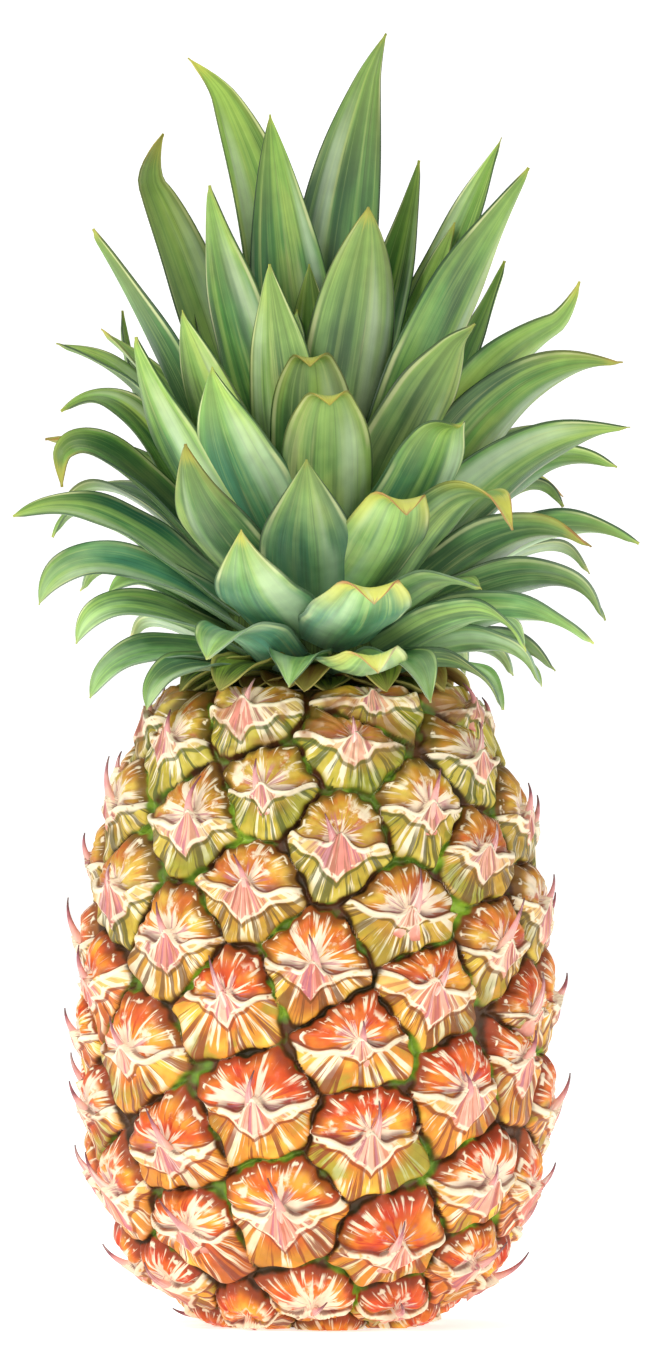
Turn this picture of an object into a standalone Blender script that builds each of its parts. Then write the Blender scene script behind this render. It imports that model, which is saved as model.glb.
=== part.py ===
"""A pineapple, as picked, standing upright on its base.

It is built as it grows: a barrel of fused fruitlets, the eyes, set along a golden-angle spiral, each with a
bract that ends in a spine; the cut end of the stalk in the base; and the crown, a short stem with leaves in
tiers. The frame has its origin at the centre of the base, +Z up, and the side to be seen first faces -Y.
"""

import math
import random
from bisect import bisect_left

import bmesh
import bpy
from mathutils import Vector
from mathutils.geometry import delaunay_2d_cdt

MM = 0.001
FULL_TURN = 2 * math.pi
TINY = 1e-9
SHARP_ANGLE = math.radians(40)

# Finishes: a linear colour, which the slots of the record repeat, and a roughness
EYES_FINISH = ((0.80, 0.36, 0.06), 0.5)
STALK_FINISH = ((0.55, 0.42, 0.25), 0.8)
LEAF_FINISH = ((0.10, 0.26, 0.07), 0.45)

# Barrel of the fruit, measured along the floor of the grooves between the eyes
BARREL_RADIUS = 57.6 * MM
BELLY_HEIGHT = 76.0 * MM
SHOULDER_RISE = 101.0 * MM
BASE_DROP = 75.0 * MM
SHOULDER_SQUARENESS = 2.4
BASE_SQUARENESS = 2.62
FOOT_RADIUS = 15.5 * MM
NECK_RADIUS = 33.0 * MM
RIM_POINTS = 26
RIM_MARGIN = 0.7 * MM

# Spiral of eyes
EYE_COUNT = 103
TURN_PER_EYE = math.radians(137.85)
FIRST_TURN = math.radians(7.0)
SETTLING_ROUNDS = 6

# Eyes of the side seen first that stand off the even spiral: number on it, turn in degrees, height in mm
SET_EYES = {
    13: (-2, 10), 18: (-38, 29), 21: (24, 25), 23: (-67, 38), 26: (-10, 34), 29: (50, 40),
    31: (-40, 49), 34: (13, 53), 36: (-77, 58), 37: (86, 58), 39: (-15, 60), 42: (39, 63),
    44: (-52, 73), 45: (60, 71), 47: (10, 76), 50: (65, 83), 52: (-22, 87), 55: (29, 90),
    57: (-72, 90), 60: (-1, 95), 63: (52, 100), 65: (-38, 102), 68: (23, 108), 73: (-18, 115),
    76: (48, 123), 78: (-35, 132), 81: (6, 127), 83: (-74, 135), 84: (76, 132), 86: (-15, 139),
    89: (32, 134), 91: (-53, 151), 92: (56, 147), 94: (12, 151), 99: (-26, 159), 102: (20, 161),
}

# Relief of one eye
PILLOW_HEIGHT = 4.3 * MM
PILLOW_POWER = 3.0
LIP_HEIGHT = 1.4 * MM
LIP_SLOPE = 0.6 * MM
DIMPLE_DEPTH = 0.9 * MM
DIMPLE_SHARE = 0.35
OUTER_SHARE = 0.82
INNER_SHARE = 0.45
# Where an eye has points: the share of the way out, the directions in degrees, and whether that is the bract
EYE_ROWS = (
    (OUTER_SHARE, (38, 90, 142), False),
    (INNER_SHARE, (60, 120), False),
    (OUTER_SHARE, (205, 238, 270, 302, 335), True),
    (INNER_SHARE, (270,), True),
)
EYE_TILT = 5.0
CHART_JITTER = 1e-5

# Spine of one bract: how far it comes up over the eye and off it, its waist on the way, and its small changes
SPINE_ROOT = 2.0 * MM
SPINE_FOOT = ((1, 0), (0, 0.7), (-1, 0), (0, -1))
SPINE_RISE = 5.2 * MM
SPINE_REACH = 8.5 * MM
WAIST_LEAN = 0.35
WAIST_REACH = 0.38
WAIST_RISE = 0.62
WAIST_SIZE = 0.42
SPINE_SIZES = (0.75, 1.1)
SPINE_LEAN = 2.4 * MM
SPINE_CLEARANCE = 7.0 * MM
CROWDED_RUN = 45.0 * MM
CROWDED_SIZE = 0.35

# Cut end of the stalk, let into the base
STALK_RADIUS = 13.0 * MM
STALK_DEPTH = 8.0 * MM
STALK_SIDES = 28
GAP = 0.3 * MM

# Cutters: the ground that flattens the foot, and how far the pocket's cutter starts under it
GROUND_RADIUS = 90.0 * MM
GROUND_DEPTH = 20.0 * MM
GROUND_SIDES = 24
POCKET_START = -10.0 * MM

# Heart of the crown, a short stem that swells where the leaves clasp it: radius and height over its foot
HEART = ((21.0, 0.0), (25.0, 10.0), (25.0, 24.0), (20.0, 38.0), (12.0, 52.0), (5.0, 64.0))
HEART_SIDES = 20
ROOT_DEPTH = 0.6
FLAT_WITHIN = math.radians(4)

# Blades of the crown
KEEL_THICKNESS = 1.7 * MM
EDGE_THICKNESS = 0.8 * MM
TIP_WIDTH = 0.9 * MM
CHANNEL = 0.34
KEEL_THINNING = 0.55
CHANNEL_EASING = 0.25
HANDLE = 0.38
STEEP = 0.7
TIP_CROWDING = 1.3
LONG_LEAF = 80.0 * MM
LONG_SPANS = 6
SHORT_SPANS = 4
WIDEST_AT = 0.45
ROOT_WIDTH = 0.8
TAPER_POWER = 2.1
SEED = 7

# Leaves of the side seen first. Each row: the way the leaf faces, in degrees right of the front; its tip, in
# mm right of, in front of and above the origin; the height of its root in mm; its slope at the root and at
# the tip, in degrees; its greatest width in mm; and the turn about its own length, in degrees.
SEEN_LEAVES = (
    (170, 16.6, -12, 336, 212, 82, 74, 23, 0),
    (-165, -12.2, -4, 315, 210, 84, 86, 22, 0),
    (-150, -33.0, -20, 330, 206, 84, 54, 21, 0),
    (-130, -46.5, -24, 307, 203, 62, 64, 22, 0),
    (-35, -27.8, 8, 296, 205, 72, 84, 20, 0),
    (150, 26.8, -26, 304, 206, 74, 78, 15, 0),
    (135, 48.4, -26, 310, 204, 60, 64, 20, 0),
    (45, 55.1, -2, 301, 203, 58, 58, 21, 0),
    (125, 49.4, -36, 278, 199, 52, 66, 16, 0),
    (12, 13.3, 18, 290, 204, 76, 86, 22, 0),
    (-20, -12.2, 24, 275, 200, 74, 84, 20, 0),
    (-38, -34.6, 30, 263, 197, 50, 76, 21, 0),
    (-62, -58.2, 0, 285, 199, 52, 58, 25, 15),
    (-110, -51.2, -38, 265, 193, 52, 85, 10, 0),
    (-66, -67.6, 8, 255, 192, 48, 12, 19, 30),
    (-48, -46.5, 32, 256, 190, 42, 78, 22, 5),
    (-95, -67.0, -20, 238, 188, 44, -36, 16, 30),
    (-68, -67.3, 20, 221, 186, 44, -80, 18, 35),
    (-72, -78.5, 18, 210, 182, 30, -22, 18, 35),
    (-100, -69.2, -20, 205, 178, 34, -70, 12, 20),
    (-60, -71.5, 30, 187, 177, 36, -72, 17, 35),
    (-80, -54.3, 8, 190, 174, 28, -50, 14, 30),
    (-58, -61.9, 30, 177, 171, 28, -72, 15, 30),
    (-64, -58.5, 24, 163, 168, 24, -68, 15, 25),
    (-50, -43.7, 34, 160, 167, 20, -80, 14, 15),
    (-24, -26.8, 44, 248, 190, 52, 82, 24, 0),
    (-32, -33.5, 56, 228, 183, 40, 80, 23, 0),
    (-3, -1.5, 32, 255, 195, 70, 84, 21, 0),
    (5, 3.0, 46, 245, 188, 58, 86, 24, 0),
    (-3, -2.6, 60, 224, 179, 44, 86, 26, 0),
    (-17, -19.2, 65, 206, 174, 34, 84, 25, 0),
    (13, 14.0, 69, 198, 172, 34, 74, 27, 0),
    (17, 15.0, 71, 180, 168, 24, 56, 23, 0),
    (-26, -28.0, 66, 173, 167, 26, -40, 20, 0),
    (32, 29.0, 60, 162, 167, 20, -60, 16, 0),
    (34, 39.3, 28, 260, 197, 52, 62, 22, 0),
    (35, 35.6, 42, 238, 189, 44, 78, 22, 0),
    (20, 21.8, 57, 221, 182, 42, 80, 24, 0),
    (44, 49.5, 52, 211, 179, 42, -44, 20, 5),
    (42, 42.0, 60, 191, 174, 32, -20, 18, 5),
    (70, 68.5, -4, 268, 198, 46, 28, 20, 20),
    (64, 79.3, 12, 250, 193, 44, -6, 22, 25),
    (60, 80.9, 24, 233, 187, 38, 0, 19, 30),
    (80, 78.0, 2, 223, 184, 38, -25, 18, 30),
    (105, 64.5, -22, 213, 181, 34, -60, 12, 20),
    (80, 83.5, 10, 203, 180, 32, -32, 16, 30),
    (58, 70.7, 30, 202, 178, 32, -36, 17, 30),
    (64, 74.4, 24, 183, 175, 32, -72, 16, 30),
    (50, 71.2, 34, 177, 171, 26, -42, 16, 30),
    (46, 53.6, 46, 175, 169, 26, -72, 15, 20),
    (62, 58.0, 28, 166, 168, 24, -76, 14, 25),
    (84, 62.0, 4, 170, 168, 22, -54, 13, 25),
    (44, 47.8, 38, 160, 167, 20, -80, 14, 15),
    (-6, -7.0, 56, 166, 167, 20, -52, 16, 0),
    (60, 4.0, 1, 270, 214, 84, 88, 15, 0),
    (180, -2.0, -4, 276, 214, 84, 88, 15, 0),
    (-60, -5.0, 2, 264, 214, 84, 88, 15, 0),
)

# Tiers of the far side, from the heart out. Each row: how many leaves, the way the first faces and the step
# to the next in degrees; the tip's reach from the axis and its height in mm; then root, slopes and width.
FAR_TIERS = (
    (2, 155, 50, 24, 306, 206, 80, 74, 20),
    (3, 130, 50, 44, 284, 201, 62, 66, 20),
    (4, 114, 44, 62, 258, 195, 54, 34, 20),
    (5, 106, 37, 70, 232, 189, 48, -6, 19),
    (5, 118, 31, 72, 210, 183, 40, -40, 18),
    (6, 102, 31, 70, 190, 175, 32, -64, 17),
    (6, 114, 27, 58, 172, 168, 26, -72, 16),
)
FAR_TURN = 5.0
FAR_REACH = (0.9, 1.05)
FAR_HEIGHT = (-8.0, 6.0)

# Withered scales round the joint with the fruit
SCALE_COUNT = 12
SCALE_REACH = 43.0 * MM
SCALE_ROOT = 170.0 * MM
SCALE_TIP = 164.8 * MM
SCALE_WIDTH = 19.0
SCALE_SLOPES = (14, -48)
SCALE_TURN = 0.25
SCALE_REACHES = (0.92, 1.05)


def clear_scene():
    """Empties the scene of what Blender starts with."""
    for existing in list(bpy.data.objects):
        bpy.data.objects.remove(existing, do_unlink=True)


def material(name, finish):
    """A plain finish in one colour."""
    colour, roughness = finish
    made = bpy.data.materials.new(name)
    made.use_nodes = True
    shader = made.node_tree.nodes["Principled BSDF"]
    shader.inputs["Base Color"].default_value = (*colour, 1.0)
    shader.inputs["Roughness"].default_value = roughness
    shader.inputs["Metallic"].default_value = 0.0
    return made


def object_from(name, bm, finish=None):
    """A named object in the scene from a bmesh, shaded smooth but for its sharp edges."""
    mesh = bpy.data.meshes.new(name)
    bmesh.ops.recalc_face_normals(bm, faces=bm.faces)
    bm.to_mesh(mesh)
    bm.free()
    mesh.shade_smooth()
    mesh.set_sharp_from_angle(angle=SHARP_ANGLE)
    if finish:
        mesh.materials.append(finish)
    made = bpy.data.objects.new(name, mesh)
    bpy.context.scene.collection.objects.link(made)
    return made


def helper(made):
    """Marks an object as a cutter, which is no part of the pineapple."""
    made.hide_render = True
    made.display_type = "WIRE"
    return made


def boolean(target, name, operation, other):
    """A live Boolean on the target."""
    step = target.modifiers.new(name, "BOOLEAN")
    step.operation = operation
    step.solver = "EXACT"
    step.object = other


def turned(name, profile, sides, finish=None):
    """A solid turned about Z from (radius, height) points listed from its foot to its top."""
    bm = bmesh.new()
    rings = []
    for radius, height in profile:
        angles = [FULL_TURN * k / sides for k in range(sides)]
        rings.append([bm.verts.new((radius * math.cos(a), radius * math.sin(a), height)) for a in angles])
    for low, high in zip(rings, rings[1:]):
        for k in range(sides):
            j = (k + 1) % sides
            bm.faces.new((low[k], low[j], high[j], high[k]))
    bm.faces.new(list(reversed(rings[0])))
    bm.faces.new(rings[-1])
    return object_from(name, bm, finish)


def turned_to(degrees, reach, height):
    """A point at a turn to the right of the front, a reach from the axis and a height."""
    turn = math.radians(degrees)
    return Vector((reach * math.sin(turn), -reach * math.cos(turn), height))


class Barrel:
    """The groove floor of the fruit, a surface of revolution read by the distance run up its side."""

    STEPS = 600

    def __init__(self):
        foot = self.height_at(FOOT_RADIUS, low=True)
        neck = self.height_at(NECK_RADIUS, low=False)
        middle, half = (foot + neck) / 2, (neck - foot) / 2
        # Steps crowd towards both ends, where the outline turns in fastest.
        self.heights = [middle - half * math.cos(math.pi * k / self.STEPS) for k in range(self.STEPS + 1)]
        self.radii = [self.radius_at(z) for z in self.heights]
        self.run, self.area, self.chart = [0.0], [0.0], [0.0]
        for k in range(self.STEPS):
            step = math.hypot(self.heights[k + 1] - self.heights[k], self.radii[k + 1] - self.radii[k])
            mean = (self.radii[k + 1] + self.radii[k]) / 2
            self.run.append(self.run[-1] + step)
            self.area.append(self.area[-1] + FULL_TURN * mean * step)
            self.chart.append(self.chart[-1] + step / mean)
        self.top = self.run[-1]

    @staticmethod
    def radius_at(z):
        """Radius of the barrel at a height."""
        low = z < BELLY_HEIGHT
        power = BASE_SQUARENESS if low else SHOULDER_SQUARENESS
        share = min(1.0, abs(z - BELLY_HEIGHT) / (BASE_DROP if low else SHOULDER_RISE))
        return BARREL_RADIUS * (1 - share**power) ** (1 / power)

    @staticmethod
    def height_at(radius, low):
        """Height at which the barrel has a radius, in its lower or its upper half."""
        power = BASE_SQUARENESS if low else SHOULDER_SQUARENESS
        share = (1 - (radius / BARREL_RADIUS) ** power) ** (1 / power)
        return BELLY_HEIGHT - BASE_DROP * share if low else BELLY_HEIGHT + SHOULDER_RISE * share

    @staticmethod
    def read(keys, values, key):
        """The value that goes with a key, between the two nearest."""
        k = min(max(bisect_left(keys, key), 1), len(keys) - 1)
        share = (key - keys[k - 1]) / (keys[k] - keys[k - 1])
        return values[k - 1] + min(max(share, 0.0), 1.0) * (values[k] - values[k - 1])

    def radius_by(self, run):
        """Radius of the barrel a run up its side."""
        return self.read(self.run, self.radii, run)

    def chart_by(self, run):
        """Height on the chart, on which the barrel unrolls with its angles kept."""
        return self.read(self.run, self.chart, run)

    def run_by(self, chart):
        """Run up the side that goes with a height on the chart."""
        return self.read(self.chart, self.run, chart)

    def point(self, turn, run, lift=0.0):
        """A point of the barrel, or one lifted off it square to its side."""
        run = min(max(run, 0.0), self.top)
        nudge = 2 * self.top / self.STEPS
        ahead, behind = min(run + nudge, self.top), max(run - nudge, 0.0)
        rise = self.read(self.run, self.heights, ahead) - self.read(self.run, self.heights, behind)
        widen = self.radius_by(ahead) - self.radius_by(behind)
        out = Vector((rise, -widen)).normalized()
        reach = self.radius_by(run) + lift * out.x
        height = self.read(self.run, self.heights, run) + lift * out.y
        return Vector((reach * math.sin(turn), -reach * math.cos(turn), height))


def wrapped_triangles(points):
    """Delaunay triangles of (turn, chart) points on a chart that wraps round after one turn.

    Each point near the seam is triangulated again one turn away, and of the triangles that come out twice
    only the one whose middle lies in the first turn is kept.
    """
    margin = 1.0
    copies = [(x, y, k) for k, (x, y) in enumerate(points)]
    copies += [(x + FULL_TURN, y, k) for k, (x, y) in enumerate(points) if x < margin]
    copies += [(x - FULL_TURN, y, k) for k, (x, y) in enumerate(points) if x > FULL_TURN - margin]
    flat = [Vector((x, y)) for x, y, _ in copies]
    _, _, faces, origins, _, _ = delaunay_2d_cdt(flat, [], [], 0, 1e-7)
    kept = []
    for face in faces:
        corners = [origins[v][0] for v in face]
        if 0 <= sum(copies[c][0] for c in corners) / 3 < FULL_TURN:
            kept.append([(copies[c][2], copies[c][0], copies[c][1]) for c in corners])
    return kept


class Eye:
    """One fruitlet: its place on the barrel, and its cell's corners as steps right and up from its middle."""

    def __init__(self, barrel, turn, run, fixed):
        self.barrel = barrel
        self.turn = turn % FULL_TURN
        self.run = run
        self.fixed = fixed
        self.corners = []

    def place(self, right, up):
        """The turn and run of a point a step right and up from the middle."""
        run = self.run + up
        return self.turn + right / self.barrel.radius_by(run), run

    def reach(self, angle):
        """Distance from the middle to the cell's edge in a direction."""
        ahead = Vector((math.cos(angle), math.sin(angle)))
        found = []
        for a, b in zip(self.corners, self.corners[1:] + self.corners[:1]):
            side = b - a
            slant = ahead.x * side.y - ahead.y * side.x
            if abs(slant) < TINY**2:
                continue
            distance = (a.x * side.y - a.y * side.x) / slant
            along = (a.x * ahead.y - a.y * ahead.x) / slant
            if distance > 0 and -TINY <= along <= 1 + TINY:
                found.append(distance)
        return min(found) if found else min(c.length for c in self.corners)

    def settle(self):
        """Moves an eye that isn't set to the middle of its cell."""
        if self.fixed or len(self.corners) < 3:
            return
        middle = sum(self.corners, Vector((0.0, 0.0))) / len(self.corners)
        turn, run = self.place(middle.x, middle.y)
        self.turn, self.run = turn % FULL_TURN, min(max(run, 0.0), self.barrel.top)


def spiral_of_eyes(barrel):
    """The eyes from the base up, each one golden turn on and the same area of skin higher than the last."""
    eyes = []
    for k in range(EYE_COUNT):
        if k in SET_EYES:
            degrees, height = SET_EYES[k]
            run = Barrel.read(barrel.heights, barrel.run, height * MM)
            eyes.append(Eye(barrel, math.radians(degrees), run, True))
        else:
            run = Barrel.read(barrel.area, barrel.run, (k + 0.5) / EYE_COUNT * barrel.area[-1])
            eyes.append(Eye(barrel, FIRST_TURN + k * TURN_PER_EYE, run, False))
    return eyes


def divide_into_cells(barrel, eyes):
    """Gives each eye its corners, and returns the middles and pairings the grooves run through."""
    rims = [(FULL_TURN * k / RIM_POINTS, c) for c in (0.0, barrel.chart[-1]) for k in range(RIM_POINTS)]
    triangles = wrapped_triangles([(eye.turn, barrel.chart_by(eye.run)) for eye in eyes] + rims)
    for eye in eyes:
        eye.corners = []
    grooves = []
    paired = set()
    for triangle in triangles:
        turn = sum(x for _, x, _ in triangle) / 3
        run = barrel.run_by(sum(y for _, _, y in triangle) / 3)
        owners = [(k, x) for k, x, _ in triangle if k < len(eyes)]
        for k, x in owners:
            eyes[k].corners.append(Vector(((turn - x) * barrel.radius_by(run), run - eyes[k].run)))
        if owners:
            grooves.append((turn, run))
        for (a, xa, ya), (b, xb, yb) in zip(triangle, triangle[1:] + triangle[:1]):
            if max(a, b) < len(eyes) and frozenset((a, b)) not in paired:
                paired.add(frozenset((a, b)))
                grooves.append(((xa + xb) / 2, barrel.run_by((ya + yb) / 2)))
    for eye in eyes:
        eye.corners.sort(key=lambda c: math.atan2(c.y, c.x))
    return grooves


def relief(share, bract):
    """Height of an eye's skin over the groove floor, a share of the way out from its middle."""
    pillow = PILLOW_HEIGHT * (1 - share**PILLOW_POWER)
    if bract:
        return pillow + LIP_HEIGHT * (1 - share**2)
    return pillow - DIMPLE_DEPTH * math.exp(-((share / DIMPLE_SHARE) ** 2))


def eye_points(eye, tilt):
    """Steps right and up from an eye's middle, with the height of the skin there.

    The upper half is the pillow. The lower half is the bract, and its edge is a lip across the middle.
    """
    for share, angles, bract in EYE_ROWS:
        for degrees in angles:
            angle = math.radians(degrees + tilt)
            distance = share * eye.reach(angle)
            yield distance * math.cos(angle), distance * math.sin(angle), relief(share, bract)
    for share in (OUTER_SHARE, INNER_SHARE):
        for angle in (0.0, math.pi):
            right = share * eye.reach(angle) * math.cos(angle)
            yield right, LIP_SLOPE, relief(share, False)
            yield right, -LIP_SLOPE, relief(share, True)


def grow_spine(bm, crest, eye, vigour, lean):
    """Draws the skin at an eye's middle out into a spine that curves up over its pillow."""
    barrel = eye.barrel
    rim = [loop.link_loop_next for loop in crest.link_loops]
    pairs = [(loop.vert, loop.link_loop_next.vert) for loop in rim]
    bmesh.ops.delete(bm, geom=list(crest.link_faces), context="FACES_ONLY")
    height = PILLOW_HEIGHT + LIP_HEIGHT
    turn, run = eye.place(WAIST_LEAN * lean, WAIST_REACH * SPINE_REACH * vigour)
    waist = barrel.point(turn, run, height + WAIST_RISE * SPINE_RISE * vigour)
    turn, run = eye.place(lean, SPINE_REACH * vigour)
    crest.co = barrel.point(turn, run, height + SPINE_RISE * vigour)
    middle = barrel.point(*eye.place(0.0, 0.0), height)
    ring = {}
    for vert, _ in pairs:
        ring[vert] = bm.verts.new(waist + (vert.co - middle) * WAIST_SIZE)
    for a, b in pairs:
        bm.faces.new((a, b, ring[b], ring[a]))
        bm.faces.new((ring[a], ring[b], crest))


def build_fruit():
    """The fruit, cut flat where it stands and pocketed for the cut end of the stalk."""
    draw = random.Random(SEED)
    barrel = Barrel()
    eyes = spiral_of_eyes(barrel)
    for _ in range(SETTLING_ROUNDS):
        divide_into_cells(barrel, eyes)
        for eye in eyes:
            eye.settle()
    grooves = divide_into_cells(barrel, eyes)

    places, lifted, crests = [], [], []

    def add(turn, run, lift):
        places.append((turn % FULL_TURN, barrel.chart_by(run) + draw.uniform(-1, 1) * CHART_JITTER))
        lifted.append(barrel.point(turn, run, lift))

    for turn, run in grooves:
        if RIM_MARGIN < run < barrel.top - RIM_MARGIN:
            add(turn, run, 0.0)
    for eye in eyes:
        for right, up, height in eye_points(eye, draw.uniform(-EYE_TILT, EYE_TILT)):
            turn, run = eye.place(right, up)
            if RIM_MARGIN < run < barrel.top - RIM_MARGIN:
                add(turn, run, height)
        height = Barrel.read(barrel.run, barrel.heights, eye.run)
        if height > SPINE_CLEARANCE and eye.run < barrel.top - SPINE_CLEARANCE:
            for right, up in SPINE_FOOT:
                add(*eye.place(right * SPINE_ROOT, up * SPINE_ROOT), PILLOW_HEIGHT + LIP_HEIGHT)
            crests.append((len(places), eye))
            add(eye.turn, eye.run, PILLOW_HEIGHT + LIP_HEIGHT)

    bm = bmesh.new()
    ends = []
    for chart, run in ((0.0, 0.0), (barrel.chart[-1], barrel.top)):
        ends.append(range(len(places), len(places) + RIM_POINTS))
        for k in range(RIM_POINTS):
            places.append((FULL_TURN * k / RIM_POINTS, chart))
            lifted.append(barrel.point(FULL_TURN * k / RIM_POINTS, run))
    verts = [bm.verts.new(p) for p in lifted]
    for triangle in wrapped_triangles(places):
        bm.faces.new([verts[k] for k, _, _ in triangle])
    for end in ends:
        bm.faces.new([verts[k] for k in end])
    bmesh.ops.recalc_face_normals(bm, faces=bm.faces)
    for k, eye in crests:
        room = min(1.0, CROWDED_SIZE + (barrel.top - eye.run) / CROWDED_RUN)
        vigour = room * draw.uniform(*SPINE_SIZES)
        grow_spine(bm, verts[k], eye, vigour, draw.uniform(-SPINE_LEAN, SPINE_LEAN))

    fruit = object_from("fruit", bm, material("eyes_orange", EYES_FINISH))
    ground = helper(turned("ground", [(GROUND_RADIUS, -GROUND_DEPTH), (GROUND_RADIUS, 0.0)], GROUND_SIDES))
    radius, top = STALK_RADIUS + GAP, STALK_DEPTH + GAP
    pocket = helper(turned("stalk_pocket", [(radius, POCKET_START), (radius, top)], STALK_SIDES))
    boolean(fruit, "flat_foot", "DIFFERENCE", ground)
    boolean(fruit, "pocket", "DIFFERENCE", pocket)


def build_stalk():
    """The cut end of the stalk, a plug flush with the foot."""
    finish = material("stalk_fibre", STALK_FINISH)
    turned("stalk", [(STALK_RADIUS, 0.0), (STALK_RADIUS, STALK_DEPTH)], STALK_SIDES, finish)


def spread(share):
    """Width of a blade along its length, as a share of its greatest."""
    taper = 1 - max(0.0, (share - WIDEST_AT) / (1 - WIDEST_AT)) ** TAPER_POWER
    return taper * (ROOT_WIDTH + (1 - ROOT_WIDTH) * min(1.0, share / WIDEST_AT))


def blade(name, facing, tip, root_height, slopes, width, roll):
    """A leaf: a channelled blade swept along a curve from inside the stem to its tip."""
    rise = math.radians(slopes[0])
    fall = math.radians(slopes[1])
    over_foot = (root_height - NECK_HEIGHT) / MM
    heart_radius = Barrel.read([h for _, h in HEART], [r for r, _ in HEART], over_foot) * MM
    root = turned_to(facing, ROOT_DEPTH * heart_radius, root_height)
    outward = turned_to(facing, 1.0, 0.0)
    length = (tip - root).length
    away = Vector((tip.x - root.x, tip.y - root.y, 0.0)).normalized()
    reach = HANDLE * length
    first = root + reach * (outward * math.cos(rise) + Vector((0, 0, math.sin(rise))))
    second = tip - reach * (away * math.cos(fall) + Vector((0, 0, math.sin(fall))))
    across = Vector((math.cos(math.radians(facing)), math.sin(math.radians(facing)), 0.0))
    spans = LONG_SPANS if length > LONG_LEAF else SHORT_SPANS
    bm = bmesh.new()
    rings = []
    for k in range(spans + 1):
        t = 1 - (1 - k / spans) ** TIP_CROWDING
        u = 1 - t
        centre = u**3 * root + 3 * u * u * t * first + 3 * u * t * t * second + t**3 * tip
        ahead = 3 * u * u * (first - root) + 6 * u * t * (second - first) + 3 * t * t * (tip - second)
        ahead.normalize()
        side = (across - across.dot(ahead) * ahead).normalized()
        upper = ahead.cross(side)
        steep = abs(ahead.z) > STEEP
        if upper.dot(outward) > 0 and steep or upper.z < 0 and not steep:
            upper = -upper
        turn = math.radians(roll) * math.copysign(1.0, across.cross(ahead).z or 1.0)
        side, upper = (
            side * math.cos(turn) + upper * math.sin(turn),
            upper * math.cos(turn) - side * math.sin(turn),
        )
        half = max(width * MM * spread(t), TIP_WIDTH) / 2
        keel = max(KEEL_THICKNESS * (1 - KEEL_THINNING * t), EDGE_THICKNESS)
        sag = CHANNEL * half * (1 - CHANNEL_EASING * t)
        ring = []
        for right, lift in (
            (-half, sag),
            (0.0, 0.0),
            (half, sag),
            (half, sag - EDGE_THICKNESS),
            (0.0, -keel),
            (-half, sag - EDGE_THICKNESS),
        ):
            ring.append(bm.verts.new(centre + side * right + upper * lift))
        rings.append(ring)
    for low, high in zip(rings, rings[1:]):
        for k in range(6):
            j = (k + 1) % 6
            if k in (0, 4):
                bm.faces.new((low[k], low[j], high[j]))
                bm.faces.new((low[k], high[j], high[k]))
            else:
                bm.faces.new((low[k], low[j], high[k]))
                bm.faces.new((low[j], high[j], high[k]))
    for ring in (rings[0], rings[-1]):
        bm.faces.new((ring[0], ring[1], ring[4], ring[5]))
        bm.faces.new((ring[1], ring[2], ring[3], ring[4]))
    return object_from(name, bm)


def largest_shell(bm):
    """Drops every shell but the largest: the pockets that fusing seals off, and scraps."""
    left = set(bm.faces)
    shells = []
    while left:
        shell, edge = [], [left.pop()]
        while edge:
            face = edge.pop()
            shell.append(face)
            near = [n for e in face.edges if len(e.link_faces) == 2 for n in e.link_faces if n in left]
            left.difference_update(near)
            edge.extend(set(near))
        shells.append(shell)
    shells.sort(key=len)
    scraps = [face for shell in shells[:-1] for face in shell]
    bmesh.ops.delete(bm, geom=scraps, context="FACES")


def build_crown():
    """The crown: a short stem with its leaves and the scales at its foot fused to it."""
    draw = random.Random(SEED)
    foot = NECK_HEIGHT + GAP
    profile = [(radius * MM, foot + height * MM) for radius, height in HEART]
    stem = turned("crown_stem", profile, HEART_SIDES)
    leaves = []
    for facing, right, front, up, root, rise, fall, width, roll in SEEN_LEAVES:
        tip = Vector((right, -front, up)) * MM
        leaves.append(blade("leaf", facing, tip, root * MM, (rise, fall), width, roll))
    for count, first, step, reach, up, root, rise, fall, width in FAR_TIERS:
        for k in range(count):
            facing = first + k * step + draw.uniform(-FAR_TURN, FAR_TURN)
            turn = facing + draw.uniform(-FAR_TURN, FAR_TURN)
            tip = turned_to(turn, reach * draw.uniform(*FAR_REACH), up + draw.uniform(*FAR_HEIGHT)) * MM
            leaves.append(blade("leaf", facing, tip, root * MM, (rise, fall), width, 0))
    for k in range(SCALE_COUNT):
        facing = 360 * (k + draw.uniform(-SCALE_TURN, SCALE_TURN)) / SCALE_COUNT
        tip = turned_to(facing, SCALE_REACH * draw.uniform(*SCALE_REACHES), SCALE_TIP)
        leaves.append(blade("scale", facing, tip, SCALE_ROOT, SCALE_SLOPES, SCALE_WIDTH, 0))
    group = bpy.data.collections.new("crown_leaves")
    bpy.context.scene.collection.children.link(group)
    for leaf in leaves:
        bpy.context.scene.collection.objects.unlink(leaf)
        group.objects.link(leaf)
    fuse = stem.modifiers.new("leaves", "BOOLEAN")
    fuse.operation = "UNION"
    fuse.solver = "EXACT"
    fuse.operand_type = "COLLECTION"
    fuse.collection = group
    fused = bpy.data.meshes.new_from_object(stem.evaluated_get(bpy.context.evaluated_depsgraph_get()))
    for used in [stem, *leaves]:
        bpy.data.objects.remove(used, do_unlink=True)
    bpy.data.collections.remove(group)
    bm = bmesh.new()
    bm.from_mesh(fused)
    bpy.data.meshes.remove(fused)
    largest_shell(bm)
    bmesh.ops.dissolve_limit(bm, angle_limit=FLAT_WITHIN, verts=bm.verts, edges=bm.edges)
    bmesh.ops.triangulate(bm, faces=bm.faces)
    largest_shell(bm)
    object_from("crown", bm, material("leaf_green", LEAF_FINISH))


NECK_HEIGHT = Barrel.height_at(NECK_RADIUS, low=False)


def main():
    """Builds the whole pineapple."""
    clear_scene()
    build_fruit()
    build_stalk()
    build_crown()


main()
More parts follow.
